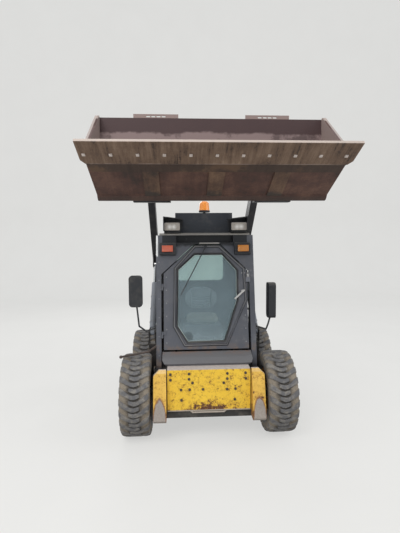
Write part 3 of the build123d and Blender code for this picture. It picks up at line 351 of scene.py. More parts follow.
# Bare black steel gone brown: the bolts read as dark dots on the yellow.
bolt_steel = old_paint("bolt_steel", "#4A3D33", "#33291F", rust="#6A3D22", chips=0.6, dusty=0.2, rough=0.6)
plate_front = front_axle - 0.250
plate_bolts = [
    (-0.383, 0.698), (-0.383, 0.642), (-0.200, 0.699), (-0.200, 0.646), (-0.165, 0.608), (-0.280, 0.540),
    (-0.194, 0.540), (-0.061, 0.541), (0.182, 0.696), (0.181, 0.643), (0.146, 0.602), (0.179, 0.537),
    (0.263, 0.539), (0.364, 0.698), (0.368, 0.641), (-0.277, 0.435), (0.257, 0.431)]
studs("plate_bolts", [(x, plate_front - 0.001, z) for x, z in plate_bolts], (0, -1, 0), 0.0140, 0.012, 6,
      bolt_steel, "chassis", "rusty_steel")

# Cab: box-section posts and folded sheet in grey-blue enamel.  A near-black band across the front under the
# roof is painted shade of the recess there, and a near-white strip down the left post's outer edge near the
# roof is a painted highlight; the roof sheet and the sill panel are lighter with dust.

cab_enamel = old_paint("cab_enamel", "#54565D", "#484A51", chips=0.14, dusty=0.22, zones=[
    # Near black across the front above 2 m: painted shade of the recess under the roof.
    ("#121316", 0.93, [("side", 0.470, 0.468), ("ragged_z", 2.00, 2.03)]),
    # Near white down the left post's outer edge near the roof: painted highlight.
    ("#F2F2F0", 0.95, [("x", -0.514, -0.518), ("y", front_axle + 0.320, front_axle + 0.305),
                       ("ragged_z", 1.90, 1.92), ("ragged_z", 2.13, 2.12)]),
    ("#75604F", 0.65, [("ragged_z", 0.99, 0.95), ("ragged", 0.46, 0.60)]),
    ("#83858C", 0.5, [("ragged", 0.60, 0.72)])])
sill_enamel = old_paint("sill_enamel", "#616267", "#54555A", chips=0.2, dusty=0.22, zones=[
    ("#7C5A44", 0.7, [("z", 0.815, 0.845), ("ragged", 0.45, 0.6)])])
roof_enamel = old_paint("roof_enamel", "#8F8B86", "#6F6C69", chips=0.4, dusty=0.45, rough=0.55)
dress(cab_enamel, "cab_frame", "door")
dress(sill_enamel, "sill_panel")
dress(roof_enamel, "roof")

# Door: the leaning front door with its eight-sided window.  A black rubber
# channel holds the toughened pane, whose ground edge shows pale in it.  The
# hasp and the rivets, also the cab post's, are zinc plated.

# The front leans back 265 mm over a height of 1375 mm from the sill.
lean = 0.265 / 1.375
sill_y, sill_z = front_axle + 0.020, 0.7
out_y, out_z = -1 / math.hypot(1, lean), lean / math.hypot(1, lean)
front_out = np.array([0, out_y, out_z])


def on_front(x, z, out=0.0):
    """A point `out` metres off the cab's leaning front, from X and the height where it leaves it."""
    x, z, out = np.broadcast_arrays(x, z, out)
    return np.stack([x, sill_y + (z - sill_z) * lean + out * out_y, z + out * out_z], -1)


def surface_mesh(name, points, material, close_u=True, close_v=False, smooth=True):
    """A grid of points[u, v] joined into quads; close_u and close_v join its ends."""
    nu, nv = points.shape[:2]
    index = np.arange(nu * nv).reshape(nu, nv)
    if close_u:
        index = np.vstack([index, index[:1]])
    if close_v:
        index = np.hstack([index, index[:, :1]])
    quads = np.stack([index[:-1, :-1], index[1:, :-1], index[1:, 1:], index[:-1, 1:]], -1).reshape(-1, 4)
    mesh = bpy.data.meshes.new(name)
    mesh.vertices.add(nu * nv)
    mesh.vertices.foreach_set("co", points.reshape(-1).astype(np.float32))
    mesh.loops.add(quads.size)
    mesh.loops.foreach_set("vertex_index", quads.reshape(-1).astype(np.int32))
    mesh.polygons.add(len(quads))
    mesh.polygons.foreach_set("loop_start", np.arange(0, quads.size, 4, dtype=np.int32))
    mesh.update(calc_edges=True)
    mesh.polygons.foreach_set("use_smooth", [smooth] * len(quads))
    mesh.validate()
    return linked(name, mesh, material)


def tube(name, path, radius, material, body, slot, sides=12, closed=False, turns=0.0):
    """A round bar: at each path point a ring of `radius`, square to the mean of its two runs.  An open
    bar's end rings shrink to points."""
    path = np.array(path, float)
    run = np.diff(np.vstack([path, path[:1]]) if closed else path, axis=0)
    run = run / np.linalg.norm(run, axis=1)[:, None]
    if closed:
        along = run + np.roll(run, 1, axis=0)
    else:
        along = np.vstack([run[:1], run[:-1] + run[1:], run[-1:]])
    along = along / np.linalg.norm(along, axis=1)[:, None]
    side = np.cross(along, (0.31, 0.17, 0.93))
    side = side / np.linalg.norm(side, axis=1)[:, None]
    other = np.cross(side, along)
    angle = (np.arange(sides) + turns) / sides * 2 * math.pi
    ring = np.cos(angle)[None, :, None] * side[:, None] + np.sin(angle)[None, :, None] * other[:, None]
    points = path[:, None] + ring * radius
    if not closed:
        foot, crown = (np.broadcast_to(end, (1, sides, 3)) for end in (path[0], path[-1]))
        points = np.concatenate([foot, points, crown])
    put(surface_mesh(name, points, material, close_u=closed, close_v=True), body, slot)


def rounded(corners, radius):
    """An open path with each inner corner replaced by a quadratic arc that starts `radius` before it."""
    corners = np.array(corners, float)
    before = corners[:-2] - corners[1:-1]
    after = corners[2:] - corners[1:-1]
    first = corners[1:-1] + before / np.linalg.norm(before, axis=1)[:, None] * radius
    last = corners[1:-1] + after / np.linalg.norm(after, axis=1)[:, None] * radius
    t = np.linspace(0, 1, 5)[None, :, None]
    arcs = (1 - t) ** 2 * first[:, None] + 2 * t * (1 - t) * corners[1:-1, None] + t * t * last[:, None]
    return np.vstack([corners[:1], arcs.reshape(-1, 3), corners[-1:]])


window_line = np.array([(-0.118, 1.872), (0.191, 1.872), (0.355, 1.690), (0.348, 1.362),
                        (0.200, 0.935), (-0.205, 0.930), (-0.319, 1.102), (-0.305, 1.703)]).T
# Moulded rubber, nearly black and matt, and the pale grey-green edge of cut glass.
rubber = old_paint("window_rubber", "#1B1C20", "#232429", rust="#3B3A3C", chips=0.05, dusty=0.3, rough=0.55)
ground_edge = old_paint("ground_glass_edge", "#9FB3AE", "#C3CCC8", rust="#7E8C88", chips=0.1, dusty=0.2,
                        rough=0.3)


def inset(x, z, by):
    """A clockwise outline moved inwards by `by`, along the mean of each corner's two normals."""
    run = np.stack([np.roll(x, -1) - x, np.roll(z, -1) - z], -1)
    run = run / np.linalg.norm(run, axis=1)[:, None]
    normal = np.stack([run[:, 1], -run[:, 0]], -1)
    corner = normal + np.roll(normal, 1, axis=0)
    corner = corner / (corner ** 2).sum(1)[:, None] * 2
    return x + corner[:, 0] * by, z + corner[:, 1] * by


seal_rows = [(0.0, -0.0172), (0.011, -0.0172), (0.010, -0.004), (0.004, 0.006), (-0.004, 0.0085),
             (-0.010, 0.0068)]
seal = np.stack([on_front(*inset(*window_line, by), out) for by, out in seal_rows], 1)
put(surface_mesh("window_rubber", seal, rubber, close_v=True, smooth=False), "door", "black_plastic")
# A folded bead in paler grey than the door, with rust specks: the paler grey is a painted highlight that
# draws a thin light line.
worn_bead = old_paint("worn_bead", "#5F6166", "#8B8884", rust="#6B4A38", chips=0.5, dusty=0.3, rough=0.45)
frame_line = np.array([(-0.112, 1.956), (0.155, 1.954), (0.424, 1.708), (0.442, 1.366),
                       (0.222, 0.898), (-0.236, 0.896), (-0.350, 1.100), (-0.336, 1.712)]).T
leaf_line = np.array([(-0.455, 1.660), (-0.115, 1.964), (0.165, 1.964),
                      (0.455, 1.686), (0.455, 0.858), (-0.455, 0.858)]).T
for name, outline, by, out, radius, material, body, slot in (
        ("frame_sealant", frame_line, -0.003, -0.001, 0.005, rubber, "door", "black_plastic"),
        ("frame_bead", frame_line, 0.004, 0.0105, 0.0035, worn_bead, "door", "dark_paint"),
        ("frame_groove", frame_line, 0.016, 0.0065, 0.004, rubber, "door", "black_plastic"),
        ("door_seal", leaf_line, -0.005, -0.050, 0.008, rubber, "chassis", "black_plastic"),
        ("ground_glass_edge", window_line, 0.0135, -0.0155, 0.0028, ground_edge, "door", "green_glass")):
    tube(name, on_front(*inset(*outline, by), out), radius, material, body, slot, sides=8, closed=True)

# Zinc plating: mid grey with brown freckles, a little glossier than the enamel.
zinc = old_paint("zinc_plate", "#8E8D8C", "#77767A", rust="#7A5A40", chips=0.25, dusty=0.15, rough=0.35,
                 grain=160.0)
rivet_z = np.linspace(0.93, 1.62, 6)
door_rivets = np.vstack([on_front(-0.425, rivet_z, -0.0025), on_front(0.428, rivet_z[:3], -0.0025)])
studs("door_rivets", door_rivets, front_out, 0.007, 0.004, 10, zinc, "door", "worn_steel")
studs("cab_rivets", on_front(-0.505, np.linspace(0.80, 1.98, 7), -0.001), front_out, 0.006, 0.004, 10, zinc,
      "chassis", "worn_steel")
studs("hasp_bolts", on_front(0.398, 1.657, 0.0005), front_out, 0.008, 0.006, 10, zinc, "door", "worn_steel")
strap_path = on_front((0.392, 0.41, 0.436), 1.657, (0.001, 0.004, 0.004))
tube("hasp_strap", strap_path, 0.0055, zinc, "door", "worn_steel", sides=8)
shackle_path = on_front((0.450, 0.450, 0.478, 0.478), (1.604, 1.655, 1.655, 1.604), 0.012)
tube("padlock_shackle", rounded(shackle_path, 0.011), 0.0042, zinc, "door", "worn_steel")


def block(name, sides, depth, bevel, material, body, slot, *replaced):
    """A moulded or cut block on the cab's front, between the `sides` x0, x1, z0, z1 and from one distance
    off it to another, with its edges rounded by `bevel`."""
    x0, x1, z0, z1 = sides
    verts = np.vstack([on_front((x0, x1, x1, x0), (z0, z0, z1, z1), out) for out in depth])
    faces = [(3, 2, 1, 0), (4, 5, 6, 7)] + [(k, (k + 1) % 4, (k + 1) % 4 + 4, k + 4) for k in range(4)]
    mesh = bpy.data.meshes.new(name)
    mesh.from_pydata(verts.tolist(), [], faces)
    made = linked(name, mesh, material)
    edge = made.modifiers.new("edges", "BEVEL")
    edge.width, edge.segments, edge.limit_method = bevel, 3, "ANGLE"
    put(made, body, slot, *replaced)


# Bare steels, lightest where hands polish them; the wiper's black has chipped to grey.
padlock_steel = old_paint("padlock_steel", "#6E7076", "#5D5F66", chips=0.2, dusty=0.15, rough=0.3)
block("padlock_body", (0.437, 0.489, 1.558, 1.612), (0.0015, 0.022), 0.005, padlock_steel, "door",
      "worn_steel")
bare_bar = old_paint("bare_bar", "#A09C97", "#7F7B78", rust="#6E4A35", chips=0.3, dusty=0.2, rough=0.3)
dress(old_paint("handle_steel", "#C3C2BE", "#A5A29E", chips=0.12, dusty=0.1, rough=0.3), "door_handle")
dress(old_paint("wiper_arm_black", "#26272B", "#35363A", rust="#8A887E", chips=0.45, dusty=0.1, rough=0.4),
      "wiper")
block("header_latch", (-0.062, 0.160, 1.977, 1.992), (0.0004, 0.012), 0.003, bare_bar, "chassis",
      "worn_steel")

# Glazing: 6 mm toughened glass with a green tint, hazed with dust that gets
# thicker down the door.  Someone has wiped a patch clean at the lower left.

wiped_at = (-0.205, front_axle + 0.06, 0.985)


def tinted_glass(name, tint, haze, hazy, dust_z=None):
    """Tinted glass: clear with a Fresnel reflection, under a film of dust that scatters light."""
    material, tree = new_material(name)
    coords = add(tree, "TexCoord").outputs["Object"]
    film = add(tree, "TexNoise", {"Vector": coords, "Scale": 4.0, "Detail": 7.0, "Roughness": 0.7})
    amount = add(tree, "MapRange", {"Value": film, "From Min": 0.3, "From Max": 0.7,
                                    "To Min": hazy - 0.05, "To Max": hazy + 0.05})
    film_tone = linear(haze)
    if dust_z:
        axes = add(tree, "SeparateXYZ", {0: coords}).outputs
        low = add(tree, "MapRange", {"Value": axes["Z"], "From Min": dust_z[0], "From Max": dust_z[1],
                                     "To Min": 0.33, "To Max": 0.0})
        low = add(tree, "Math", {0: low, 1: film}, operation="MULTIPLY")
        spot = add(tree, "VectorMath", {0: coords, 1: wiped_at}, operation="SUBTRACT")
        far = add(tree, "VectorMath", {0: spot}, operation="LENGTH").outputs["Value"]
        far = add(tree, "Math", {0: film, 1: 0.03, 2: far}, operation="MULTIPLY_ADD")
        wiped = add(tree, "MapRange", {"Value": far, "From Min": 0.075, "From Max": 0.095,
                                       "To Min": 0.45, "To Max": 1.0})
        amount = add(tree, "Math", {0: amount, 1: low}, operation="ADD")
        amount = add(tree, "Math", {0: amount, 1: wiped}, operation="MULTIPLY")
        film_tone = add(tree, "MixRGB", {"Fac": low, "Color1": linear(haze), "Color2": linear("#B4B2A8")})
    clear = add(tree, "BsdfTransparent", {"Color": linear(tint)})
    gloss = add(tree, "BsdfGlossy", {"Roughness": 0.04})
    dust = add(tree, "BsdfDiffuse", {"Color": film_tone})
    edge = add(tree, "Fresnel", {"IOR": 1.5})
    pane = add(tree, "MixShader", {0: edge, 1: clear, 2: gloss})
    return finish_with(material, add(tree, "MixShader", {0: amount, 1: pane, 2: dust}))


dress(tinted_glass("door_pane", "#EDF4F3", "#A3B9C2", 0.22, dust_z=(0.93, 1.16)), "door_glass")
dress(tinted_glass("rear_pane", "#E9F5F1", "#D2E4E0", 0.12), "rear_window")

# Seat: two foam pads in dusty grey vinyl, blown up in their covers.  Each cover is
# a closed form that cloth pressure swells; the sewn channels across the small
# of the back and the welt round each pad are pressed in afterwards.


def vinyl_leather(name, light, dark, grain_mm):
    """Grained vinyl: pebbles of `grain_mm`, two greys, and dust worked into the grain."""
    material, tree = new_material(name)
    coords = add(tree, "TexCoord").outputs["Object"]
    pebble = add(tree, "TexVoronoi", {"Vector": coords, "Scale": 1000 / grain_mm}).outputs["Distance"]
    wear = add(tree, "TexNoise", {"Vector": coords, "Scale": 7.0, "Detail": 6.0})
    colour = add(tree, "MixRGB", {"Fac": wear, "Color1": linear(dark), "Color2": linear(light)})
    rough = add(tree, "MapRange", {"Value": wear, "To Min": 0.38, "To Max": 0.58})
    bump = add(tree, "Bump", {"Height": pebble, "Strength": 0.25, "Distance": 0.0008})
    return finish_with(material, add(tree, "BsdfPrincipled", {
        "Base Color": colour, "Roughness": rough, "Normal": bump}))


seat_vinyl = vinyl_leather("seat_vinyl", "#98A2A8", "#656F76", 6.0)
squab_vinyl = vinyl_leather("dusty_squab_vinyl", "#B5AE97", "#8B8A80", 6.0)
pad_u = np.linspace(0, 2 * math.pi, 96, endpoint=False)[:, None]
pad_v = np.linspace(0, math.pi, 48)[None]


def power(value, exponent):
    """Signed power, which squares off a circle's sine and cosine."""
    return np.sign(value) * np.abs(value) ** exponent


def swollen(name, points, material):
    """A closed form remeshed at 6 mm and swollen by cloth pressure, no point moving over 14 mm."""
    made = surface_mesh(name, points, material)
    remesh = made.modifiers.new("skin", "REMESH")
    remesh.mode, remesh.voxel_size = "VOXEL", 0.006
    skin = bpy.data.meshes.new_from_object(made.evaluated_get(bpy.context.evaluated_depsgraph_get()))
    made.modifiers.clear()
    made.data = skin
    count = len(skin.vertices)
    start = np.empty(count * 3)
    skin.vertices.foreach_get("co", start)
    moved = start.copy()
    cloth = made.modifiers.new("cover", "CLOTH")
    cloth.settings.use_pressure = True
    cloth.settings.uniform_pressure_force = 4.0
    cloth.settings.effector_weights.gravity = 0.0
    for step in range(1, 21):
        bpy.context.scene.frame_set(step)
    blown = made.evaluated_get(bpy.context.evaluated_depsgraph_get())
    blown.data.vertices.foreach_get("co", moved)
    made.modifiers.clear()
    bpy.context.scene.frame_set(1)
    shift = (moved - start).reshape(-1, 3)
    far = np.linalg.norm(shift, axis=1)[:, None]
    shift = shift * np.minimum(1, 0.014 / np.maximum(far, 1e-9))
    return made, start.reshape(-1, 3) + shift


def finish_pad(made, points):
    made.data.vertices.foreach_set("co", points.reshape(-1))
    made.data.polygons.foreach_set("use_smooth", [True] * len(made.data.polygons))
    made.data.update()
    finer = made.modifiers.new("finer", "SUBSURF")
    finer.levels = finer.render_levels = 1


# Each pad is an ellipsoid, squared off by powers below one of its sines and cosines.
squab_mid = np.array([0.0, front_axle + 0.872, 1.030])
squab_half = np.array([0.212, 0.188, 0.040])
cos_v, sin_v = power(np.cos(pad_v), 0.55), np.abs(np.sin(pad_v)) ** 0.55
squab = np.stack(np.broadcast_arrays(
    squab_mid[0] + squab_half[0] * power(np.cos(pad_u), 0.4) * sin_v,
    squab_mid[1] + squab_half[1] * power(np.sin(pad_u), 0.4) * sin_v,
    squab_mid[2] - squab_half[2] * cos_v), -1)
squab_piece, squab_points = swollen("seat_squab", squab, squab_vinyl)
welt = np.exp(-((squab_points[:, 2] - squab_mid[2]) / 0.005) ** 2)
channel = np.exp(-((np.abs(squab_points[:, 0]) - 0.125) / 0.007) ** 2)
channel[squab_points[:, 2] <= squab_mid[2] + 0.02] = 0
squab_points[:, 2] -= 0.009 * channel
squab_points[:, :2] -= (squab_points[:, :2] - squab_mid[:2]) * (0.03 * welt)[:, None]
finish_pad(squab_piece, squab_points)
put(squab_piece, "chassis", "vinyl")

# The back stands along back_up from back_low and gets narrower towards its top.
back_low = np.array([0.0, front_axle + 1.066, 1.108])
back_up = np.array([0.0, 0.225, 0.974])
back_out = np.array([0.0, -0.974, 0.225])
back_height, back_half, back_depth = 0.312, 0.215, 0.036
tall = (1 - np.cos(pad_v)) / 2
wide = back_half * (1 - 0.32 * np.clip((tall - 0.55) / 0.45, 0, 1) ** 2.2)
back = (back_low + (back_height * tall)[..., None] * back_up
        + (wide * power(np.cos(pad_u), 0.45) * sin_v)[..., None] * np.array([1.0, 0, 0])
        + (back_depth * power(np.sin(pad_u), 0.6) * sin_v)[..., None] * back_out)
back_piece, back_points = swollen("seat_back", back, seat_vinyl)
local = back_points - back_low
local_x, local_up = local[:, 0], local @ back_up
facing = local @ back_out > 0.012
bolster = np.exp(-((np.abs(local_x) - 0.118 - 0.20 * np.clip(local_up - 0.17, 0, 1)) / 0.008) ** 2)
ribs = sum(np.exp(-((local_up - h - 0.9 * local_x ** 2) / 0.006) ** 2) for h in (0.055, 0.085, 0.115, 0.150))
groove = np.maximum(bolster * (local_up < 0.27), ribs * (np.abs(local_x) < 0.11)) * facing
back_points -= back_out * (0.017 * groove)[:, None]
finish_pad(back_piece, back_points)
put(back_piece, "chassis", "vinyl", "seat")

# Lamps and small fittings.  Work lamps are black pressed steel with moulded
# ribbed glass over a reflector and bulb; the indicators are black moulded
# boxes with coloured lenses; the beacon is an amber dome with upright ribs.

moulded = old_paint("black_moulding", "#1A1B1F", "#232529", rust="#3A3B3E", chips=0.1, dusty=0.22, rough=0.5,
                    grain=220.0)
lamp_steel = old_paint("lamp_steel", "#1C1D20", "#2A2A2C", rust="#6B3A22", chips=0.35, dusty=0.2, rough=0.5)
dress(moulded, "levers", "beacon", "mirrors")
dress(lamp_steel, "work_lamps")
lamp_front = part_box("work_lamps")[0][1] + 0.060
foot_half, foot_z, foot_r = 0.088, 2.112, 0.018
for side, lamp_x in (("left", -0.360), ("right", 0.385)):
    foot = [(lamp_x - foot_half, lamp_front, foot_z), (lamp_x + foot_half, lamp_front, foot_z)]
    tube("lamp_foot_" + side, foot, foot_r, lamp_steel, "chassis", "dark_paint", sides=4, turns=0.5)
dress(old_paint("sign_enamel", "#20242B", "#282C33", rust="#4A4E55", chips=0.2, dusty=0.2), "sign_plate")


def lens(name, colour, grimy, ribs_mm, glow=0.0, spots=()):
    """Moulded lens with upright ribs `ribs_mm` apart; a spot (x, z, radius) is a pale disc where a bulb sits
    behind it, a painted reflection of the bulb and its reflector.
    At Scale 1 the wave texture turns by 20 radians in one unit."""
    material, tree = new_material(name)
    coords = add(tree, "TexCoord").outputs["Object"]
    rib = add(tree, "TexWave", {"Vector": coords, "Scale": 2 * math.pi / 20 * 1000 / ribs_mm},
              bands_direction="X").outputs["Fac"]
    grime = add(tree, "TexNoise", {"Vector": coords, "Scale": 30.0, "Detail": 6.0})
    shown = add(tree, "MixRGB", {"Fac": grime, "Color1": linear(colour), "Color2": linear(grimy)})
    for x, z, size in spots:
        off = add(tree, "VectorMath", {0: coords, 1: (x, 0.0, z)}, operation="SUBTRACT")
        off = add(tree, "VectorMath", {0: off, 1: (1.0, 0.0, 1.0)}, operation="MULTIPLY")
        far = add(tree, "VectorMath", {0: off}, operation="LENGTH").outputs["Value"]
        bright = add(tree, "MapRange", {"Value": far, "From Max": size, "To Min": 0.75, "To Max": 0.0})
        shown = add(tree, "MixRGB", {"Fac": bright, "Color1": shown, "Color2": linear("#E9E7E2")})
    bump = add(tree, "Bump", {"Height": rib, "Strength": 0.5, "Distance": 0.002})
    return finish_with(material, add(tree, "BsdfPrincipled", {
        "Base Color": shown, "Roughness": 0.25, "Normal": bump, "Coat Weight": 0.5,
        "Emission Color": linear(colour), "Emission Strength": glow}))


# Pale discs in the work lamp glass: painted reflection of the bulbs and reflectors behind it.
bulb_z, glint_r = 2.168, 0.034
bulb_glints = [(x, bulb_z, glint_r) for x in (-0.386, -0.340, 0.362, 0.408)]
dress(lens("lamp_glass", "#A8A299", "#8C8278", 21.70, spots=bulb_glints), "lamp_lenses")
dress(lens("amber_dome", "#EE8A34", "#F0A052", 23.68, 0.12), "beacon_lens")
lens_red = lens("red_lens", "#C25A3C", "#A94A30", 13.81, 0.06)
lens_amber = lens("amber_lens", "#C27A26", "#AD6A22", 13.81, 0.06)
housing_z, lens_z, lens_half = (1.854, 1.988), (1.886, 1.956), 0.060
for side, x0, x1, middle, colour, slot, boxes, lenses in (
        ("left", -0.502, -0.320, -0.411, lens_red, "orange_lens", ["indicators"], ["indicator_lenses"]),
        ("right", 0.322, 0.505, 0.4175, lens_amber, "amber_lens", [], [])):
    block("indicator_housing_" + side, (x0, x1, *housing_z), (0.0006, 0.037), 0.012, moulded, "chassis",
          "black_plastic", *boxes)
    block("indicator_lens_" + side, (middle - lens_half, middle + lens_half, *lens_z), (0.036, 0.058), 0.007,
          colour, "chassis", slot, *lenses)

# Bucket: bare steel plate, red-brown with rust outside and darker rust inside.  Inside, the upper back wall
# is darkened further by painted shade, and the band below it is lighter, painted light where the wall faces
# up more, with dust and dark debris on it.  The bolted cutting edge is caked and streaked, its lip rubbed
# bright, a pale line along its back edge is a painted highlight, and water has run down the straps.


def rusted_plate(name, deep, mid, light, wet="#2B231E", wetness=0.3, streak=0.45, zones=()):
    """Rust in three tones by the height of a noise of 300 mm, mixed with streaks drawn out down the slope
    and with grit, drawn at 7 mm so that it shows.  Where the height is lowest it looks wet, and the zones
    come last."""
    material, tree = new_material(name)
    texture = add(tree, "TexCoord").outputs
    coords = texture["Object"]
    down = add(tree, "Mapping", {"Vector": coords, "Scale": (16.0, 1.4, 1.4)})
    runs = add(tree, "TexNoise", {"Vector": down, "Scale": 1.8, "Detail": 8.0, "Roughness": 0.72})
    cloud = add(tree, "TexNoise", {"Vector": coords, "Scale": 3.4, "Detail": 9.0, "Roughness": 0.68})
    grit = add(tree, "TexNoise", {"Vector": coords, "Scale": 150.0, "Detail": 3.0})
    blend = add(tree, "MixRGB", {"Fac": streak, "Color1": cloud, "Color2": runs})
    blend = add(tree, "Math", {0: grit, 1: 0.22, 2: blend}, operation="MULTIPLY_ADD")
    tone = add(tree, "ValToRGB", {"Fac": blend})
    tone.color_ramp.elements[0].position = 0.46
    tone.color_ramp.elements[0].color = linear(deep)
    tone.color_ramp.elements[1].position = 0.78
    tone.color_ramp.elements[1].color = linear(light)
    tone.color_ramp.elements.new(0.61).color = linear(mid)
    soaked = add(tree, "MapRange", {"Value": blend, "From Min": 0.55, "From Max": 0.5, "To Max": wetness})
    colour = add(tree, "MixRGB", {"Fac": soaked, "Color1": tone, "Color2": linear(wet)})
    colour = zoned(tree, texture, colour, cloud, zones)
    height = add(tree, "Math", {0: grit, 1: cloud}, operation="ADD")
    bump = add(tree, "Bump", {"Height": height, "Strength": 0.3, "Distance": 0.003})
    return finish_with(material, add(tree, "BsdfPrincipled", {
        "Base Color": colour, "Roughness": 0.72, "Normal": bump}))


floor_out = np.array([0, -floor_run[1], floor_run[0]])


def on_floor(x, back, out):
    """A point `back` metres from the lip along the bucket floor's underside, `out` off it."""
    return np.stack(np.broadcast_arrays(x, lip_y - back * floor_run[0] + out * floor_out[1],
                                        lip_z - back * floor_run[1] + out * floor_out[2]), -1)


inner_wall = [("facing_y", -0.5, -0.8), ("z", 2.60, 2.62)]
dress(rusted_plate("bucket_plate", "#33211B", "#4A3028", "#684A3C", wetness=0.4, streak=0.2, zones=[
    # Inner back wall: darker rust, darkened further by painted shade.
    ("#3A2626", 0.95, inner_wall),
    # Lower down it: lighter, painted light where the wall faces up more, with dust.
    ("#7C6966", 0.9, inner_wall + [("ragged_z", 2.975, 2.955)]),
    ("#453433", 0.8, inner_wall + [("ragged_z", 2.975, 2.955), ("ragged", 0.56, 0.62)]),
    ("#91807A", 0.85, [("facing_x", 0.8, 0.95), ("side", 0.924, 0.922)]),
    ("#A79C96", 0.8, [("side", 0.935, 0.94)]),
    ("#A4968E", 0.7, [("up", 0.55, 0.75), ("z", 2.99, 3.0)]),
    ("#8D7A74", 0.8, [("z", 3.022, 3.03), ("side", 0.70, 0.69)]),
    ("#332923", 0.5, [("z", 2.385, 2.36)])]), "bucket")
edge_zones = [("#B9ACA3", 0.8, [("along", 0.006, 0.001), ("z", 2.652, 2.657)]),
              ("#33231B", 0.88, [("along", 0.202, 0.210)]),
              ("#5C4431", 0.75, [("along", 0.216, 0.222), ("ragged", 0.54, 0.62)]),
              # Pale line beside the dark band's front edge: painted highlight.
              ("#8C7A70", 0.75, [("along", 0.200, 0.206), ("along", 0.214, 0.210), ("ragged", 0.45, 0.55)])]
dress(rusted_plate("edge_plate", "#3D2D24", "#665040", "#88725F", wet="#2C2018", wetness=0.9, streak=0.6,
                   zones=edge_zones), "cutting_edge")
dress(rusted_plate("strap_plate", "#38251B", "#543D2F", "#7A5F49", wetness=0.7, streak=0.3,
                   zones=[("#2F2823", 0.85, [("ragged_z", 2.47, 2.45)])]), "wear_straps")
# Bolt heads and a weld that the load grinds bright, with rust in their hollows.
rubbed_steel = old_paint("rubbed_steel", "#CFC5BE", "#AA9D95", rust="#7A5A45", chips=0.25, dusty=0.1,
                         rough=0.35)
studs("edge_bolts", on_floor(-0.918 + 0.18 * np.arange(11), 0.110, 0.0205), floor_out, 0.0155, 0.007, 4,
      rubbed_steel, "bucket", "worn_steel", twist=math.pi / 4)

seam_steel = old_paint("seam_steel", "#BBABA0", "#5E4A3D", rust="#2E2019", chips=0.5, dusty=0.1, rough=0.5)
tube("edge_seam", on_floor(np.linspace(-0.895, 0.895, 25), 0.2115, 0.0125), 0.0055, seam_steel, "bucket",
     "rusty_steel", sides=8)

# Cylinders: barrels sprayed light grey with zinc clamp bands, rods ground and
# hard-chromed, which mirror what stands round them in long streaks.

barrel_paint = old_paint("barrel_paint", "#80858D", "#6C7078", chips=0.25, dusty=0.25)
hands = ("left", "right")
dress(barrel_paint, *["%s_barrel_%s" % (work, hand) for work in ("lift", "tilt") for hand in hands])
hard_chrome, tree = new_material("hard_chrome")
rod_coords = add(tree, "TexCoord").outputs["Object"]
rod_smear = add(tree, "TexNoise", {"Vector": rod_coords, "Scale": 30.0, "Detail": 4.0})
rod_rough = add(tree, "MapRange", {"Value": rod_smear, "To Min": 0.08, "To Max": 0.28})
rod_tint = add(tree, "MixRGB", {"Fac": rod_smear, "Color1": linear("#D9DBDE"), "Color2": linear("#B9B7B2")})
finish_with(hard_chrome, add(tree, "BsdfPrincipled", {
    "Base Color": rod_tint, "Metallic": 1.0, "Roughness": rod_rough}))
dress(hard_chrome, *["%s_rod_%s" % (work, hand) for work in ("lift", "tilt") for hand in hands])
axes_of = {j["name"]: np.array(j["axis"]) for j in frame["record"]["behaviour"]["joints"] if "axis" in j}
band_turn = np.linspace(0, 2 * math.pi, 40, endpoint=False)[:, None]
band_r = 0.0385
for hand in hands:
    base = place["lift_barrel_%s_pivot" % hand]
    along = axes_of["lift_rod_%s_slide" % hand]
    square = np.cross(along, (1.0, 0, 0))
    for count, far in enumerate((0.14, 0.34, 0.53)):
        circle = np.cos(band_turn) * np.array([1.0, 0, 0]) + np.sin(band_turn) * square
        tube("barrel_band_%s_%d" % (hand, count), base + along * far + band_r * circle, 0.0032, zinc,
             "lift_barrel_" + hand, "worn_steel", sides=8, closed=True)

# Tyres: moulded rubber with wide worn lugs.  Each lug has a wide head across the middle and leans up to the
# shoulder; dry tan mud fills the gaps of the shoulders, painted shade darkens the gaps across the middle,
# and the tops are scrubbed grey.

tyre_rubber, tree = new_material("muddy_tyre_rubber")
lug_high = add(tree, "Attribute", attribute_name="tread").outputs["Fac"]
tyre_coords = add(tree, "TexCoord").outputs["Object"]
scuffs = add(tree, "TexNoise", {"Vector": tyre_coords, "Scale": 17.0, "Detail": 8.0, "Roughness": 0.7})
pebbles = add(tree, "TexNoise", {"Vector": tyre_coords, "Scale": 130.0, "Detail": 4.0})
gap_level = add(tree, "Math", {0: scuffs, 1: 0.75, 2: lug_high}, operation="MULTIPLY_ADD")
gap_mask = add(tree, "MapRange", {"Value": gap_level, "From Min": 0.5, "From Max": 1.12,
                                  "To Min": 1.0, "To Max": 0.0})
rubber_tone = add(tree, "MixRGB", {"Fac": scuffs, "Color1": linear("#49494C"), "Color2": linear("#6A6867")})
tyre_x = add(tree, "SeparateXYZ", {0: tyre_coords}).outputs["X"]
tyre_x = add(tree, "Math", {0: tyre_x}, operation="ABSOLUTE")
tyre_x = add(tree, "Math", {0: tyre_x, 1: place["wheel_fr_spin"][0]}, operation="SUBTRACT")
tyre_x = add(tree, "Math", {0: tyre_x}, operation="ABSOLUTE")
tyre_x = add(tree, "Math", {0: scuffs, 1: 0.12, 2: tyre_x}, operation="MULTIPLY_ADD")
outward = add(tree, "MapRange", {"Value": tyre_x, "From Min": 0.10, "From Max": 0.15})
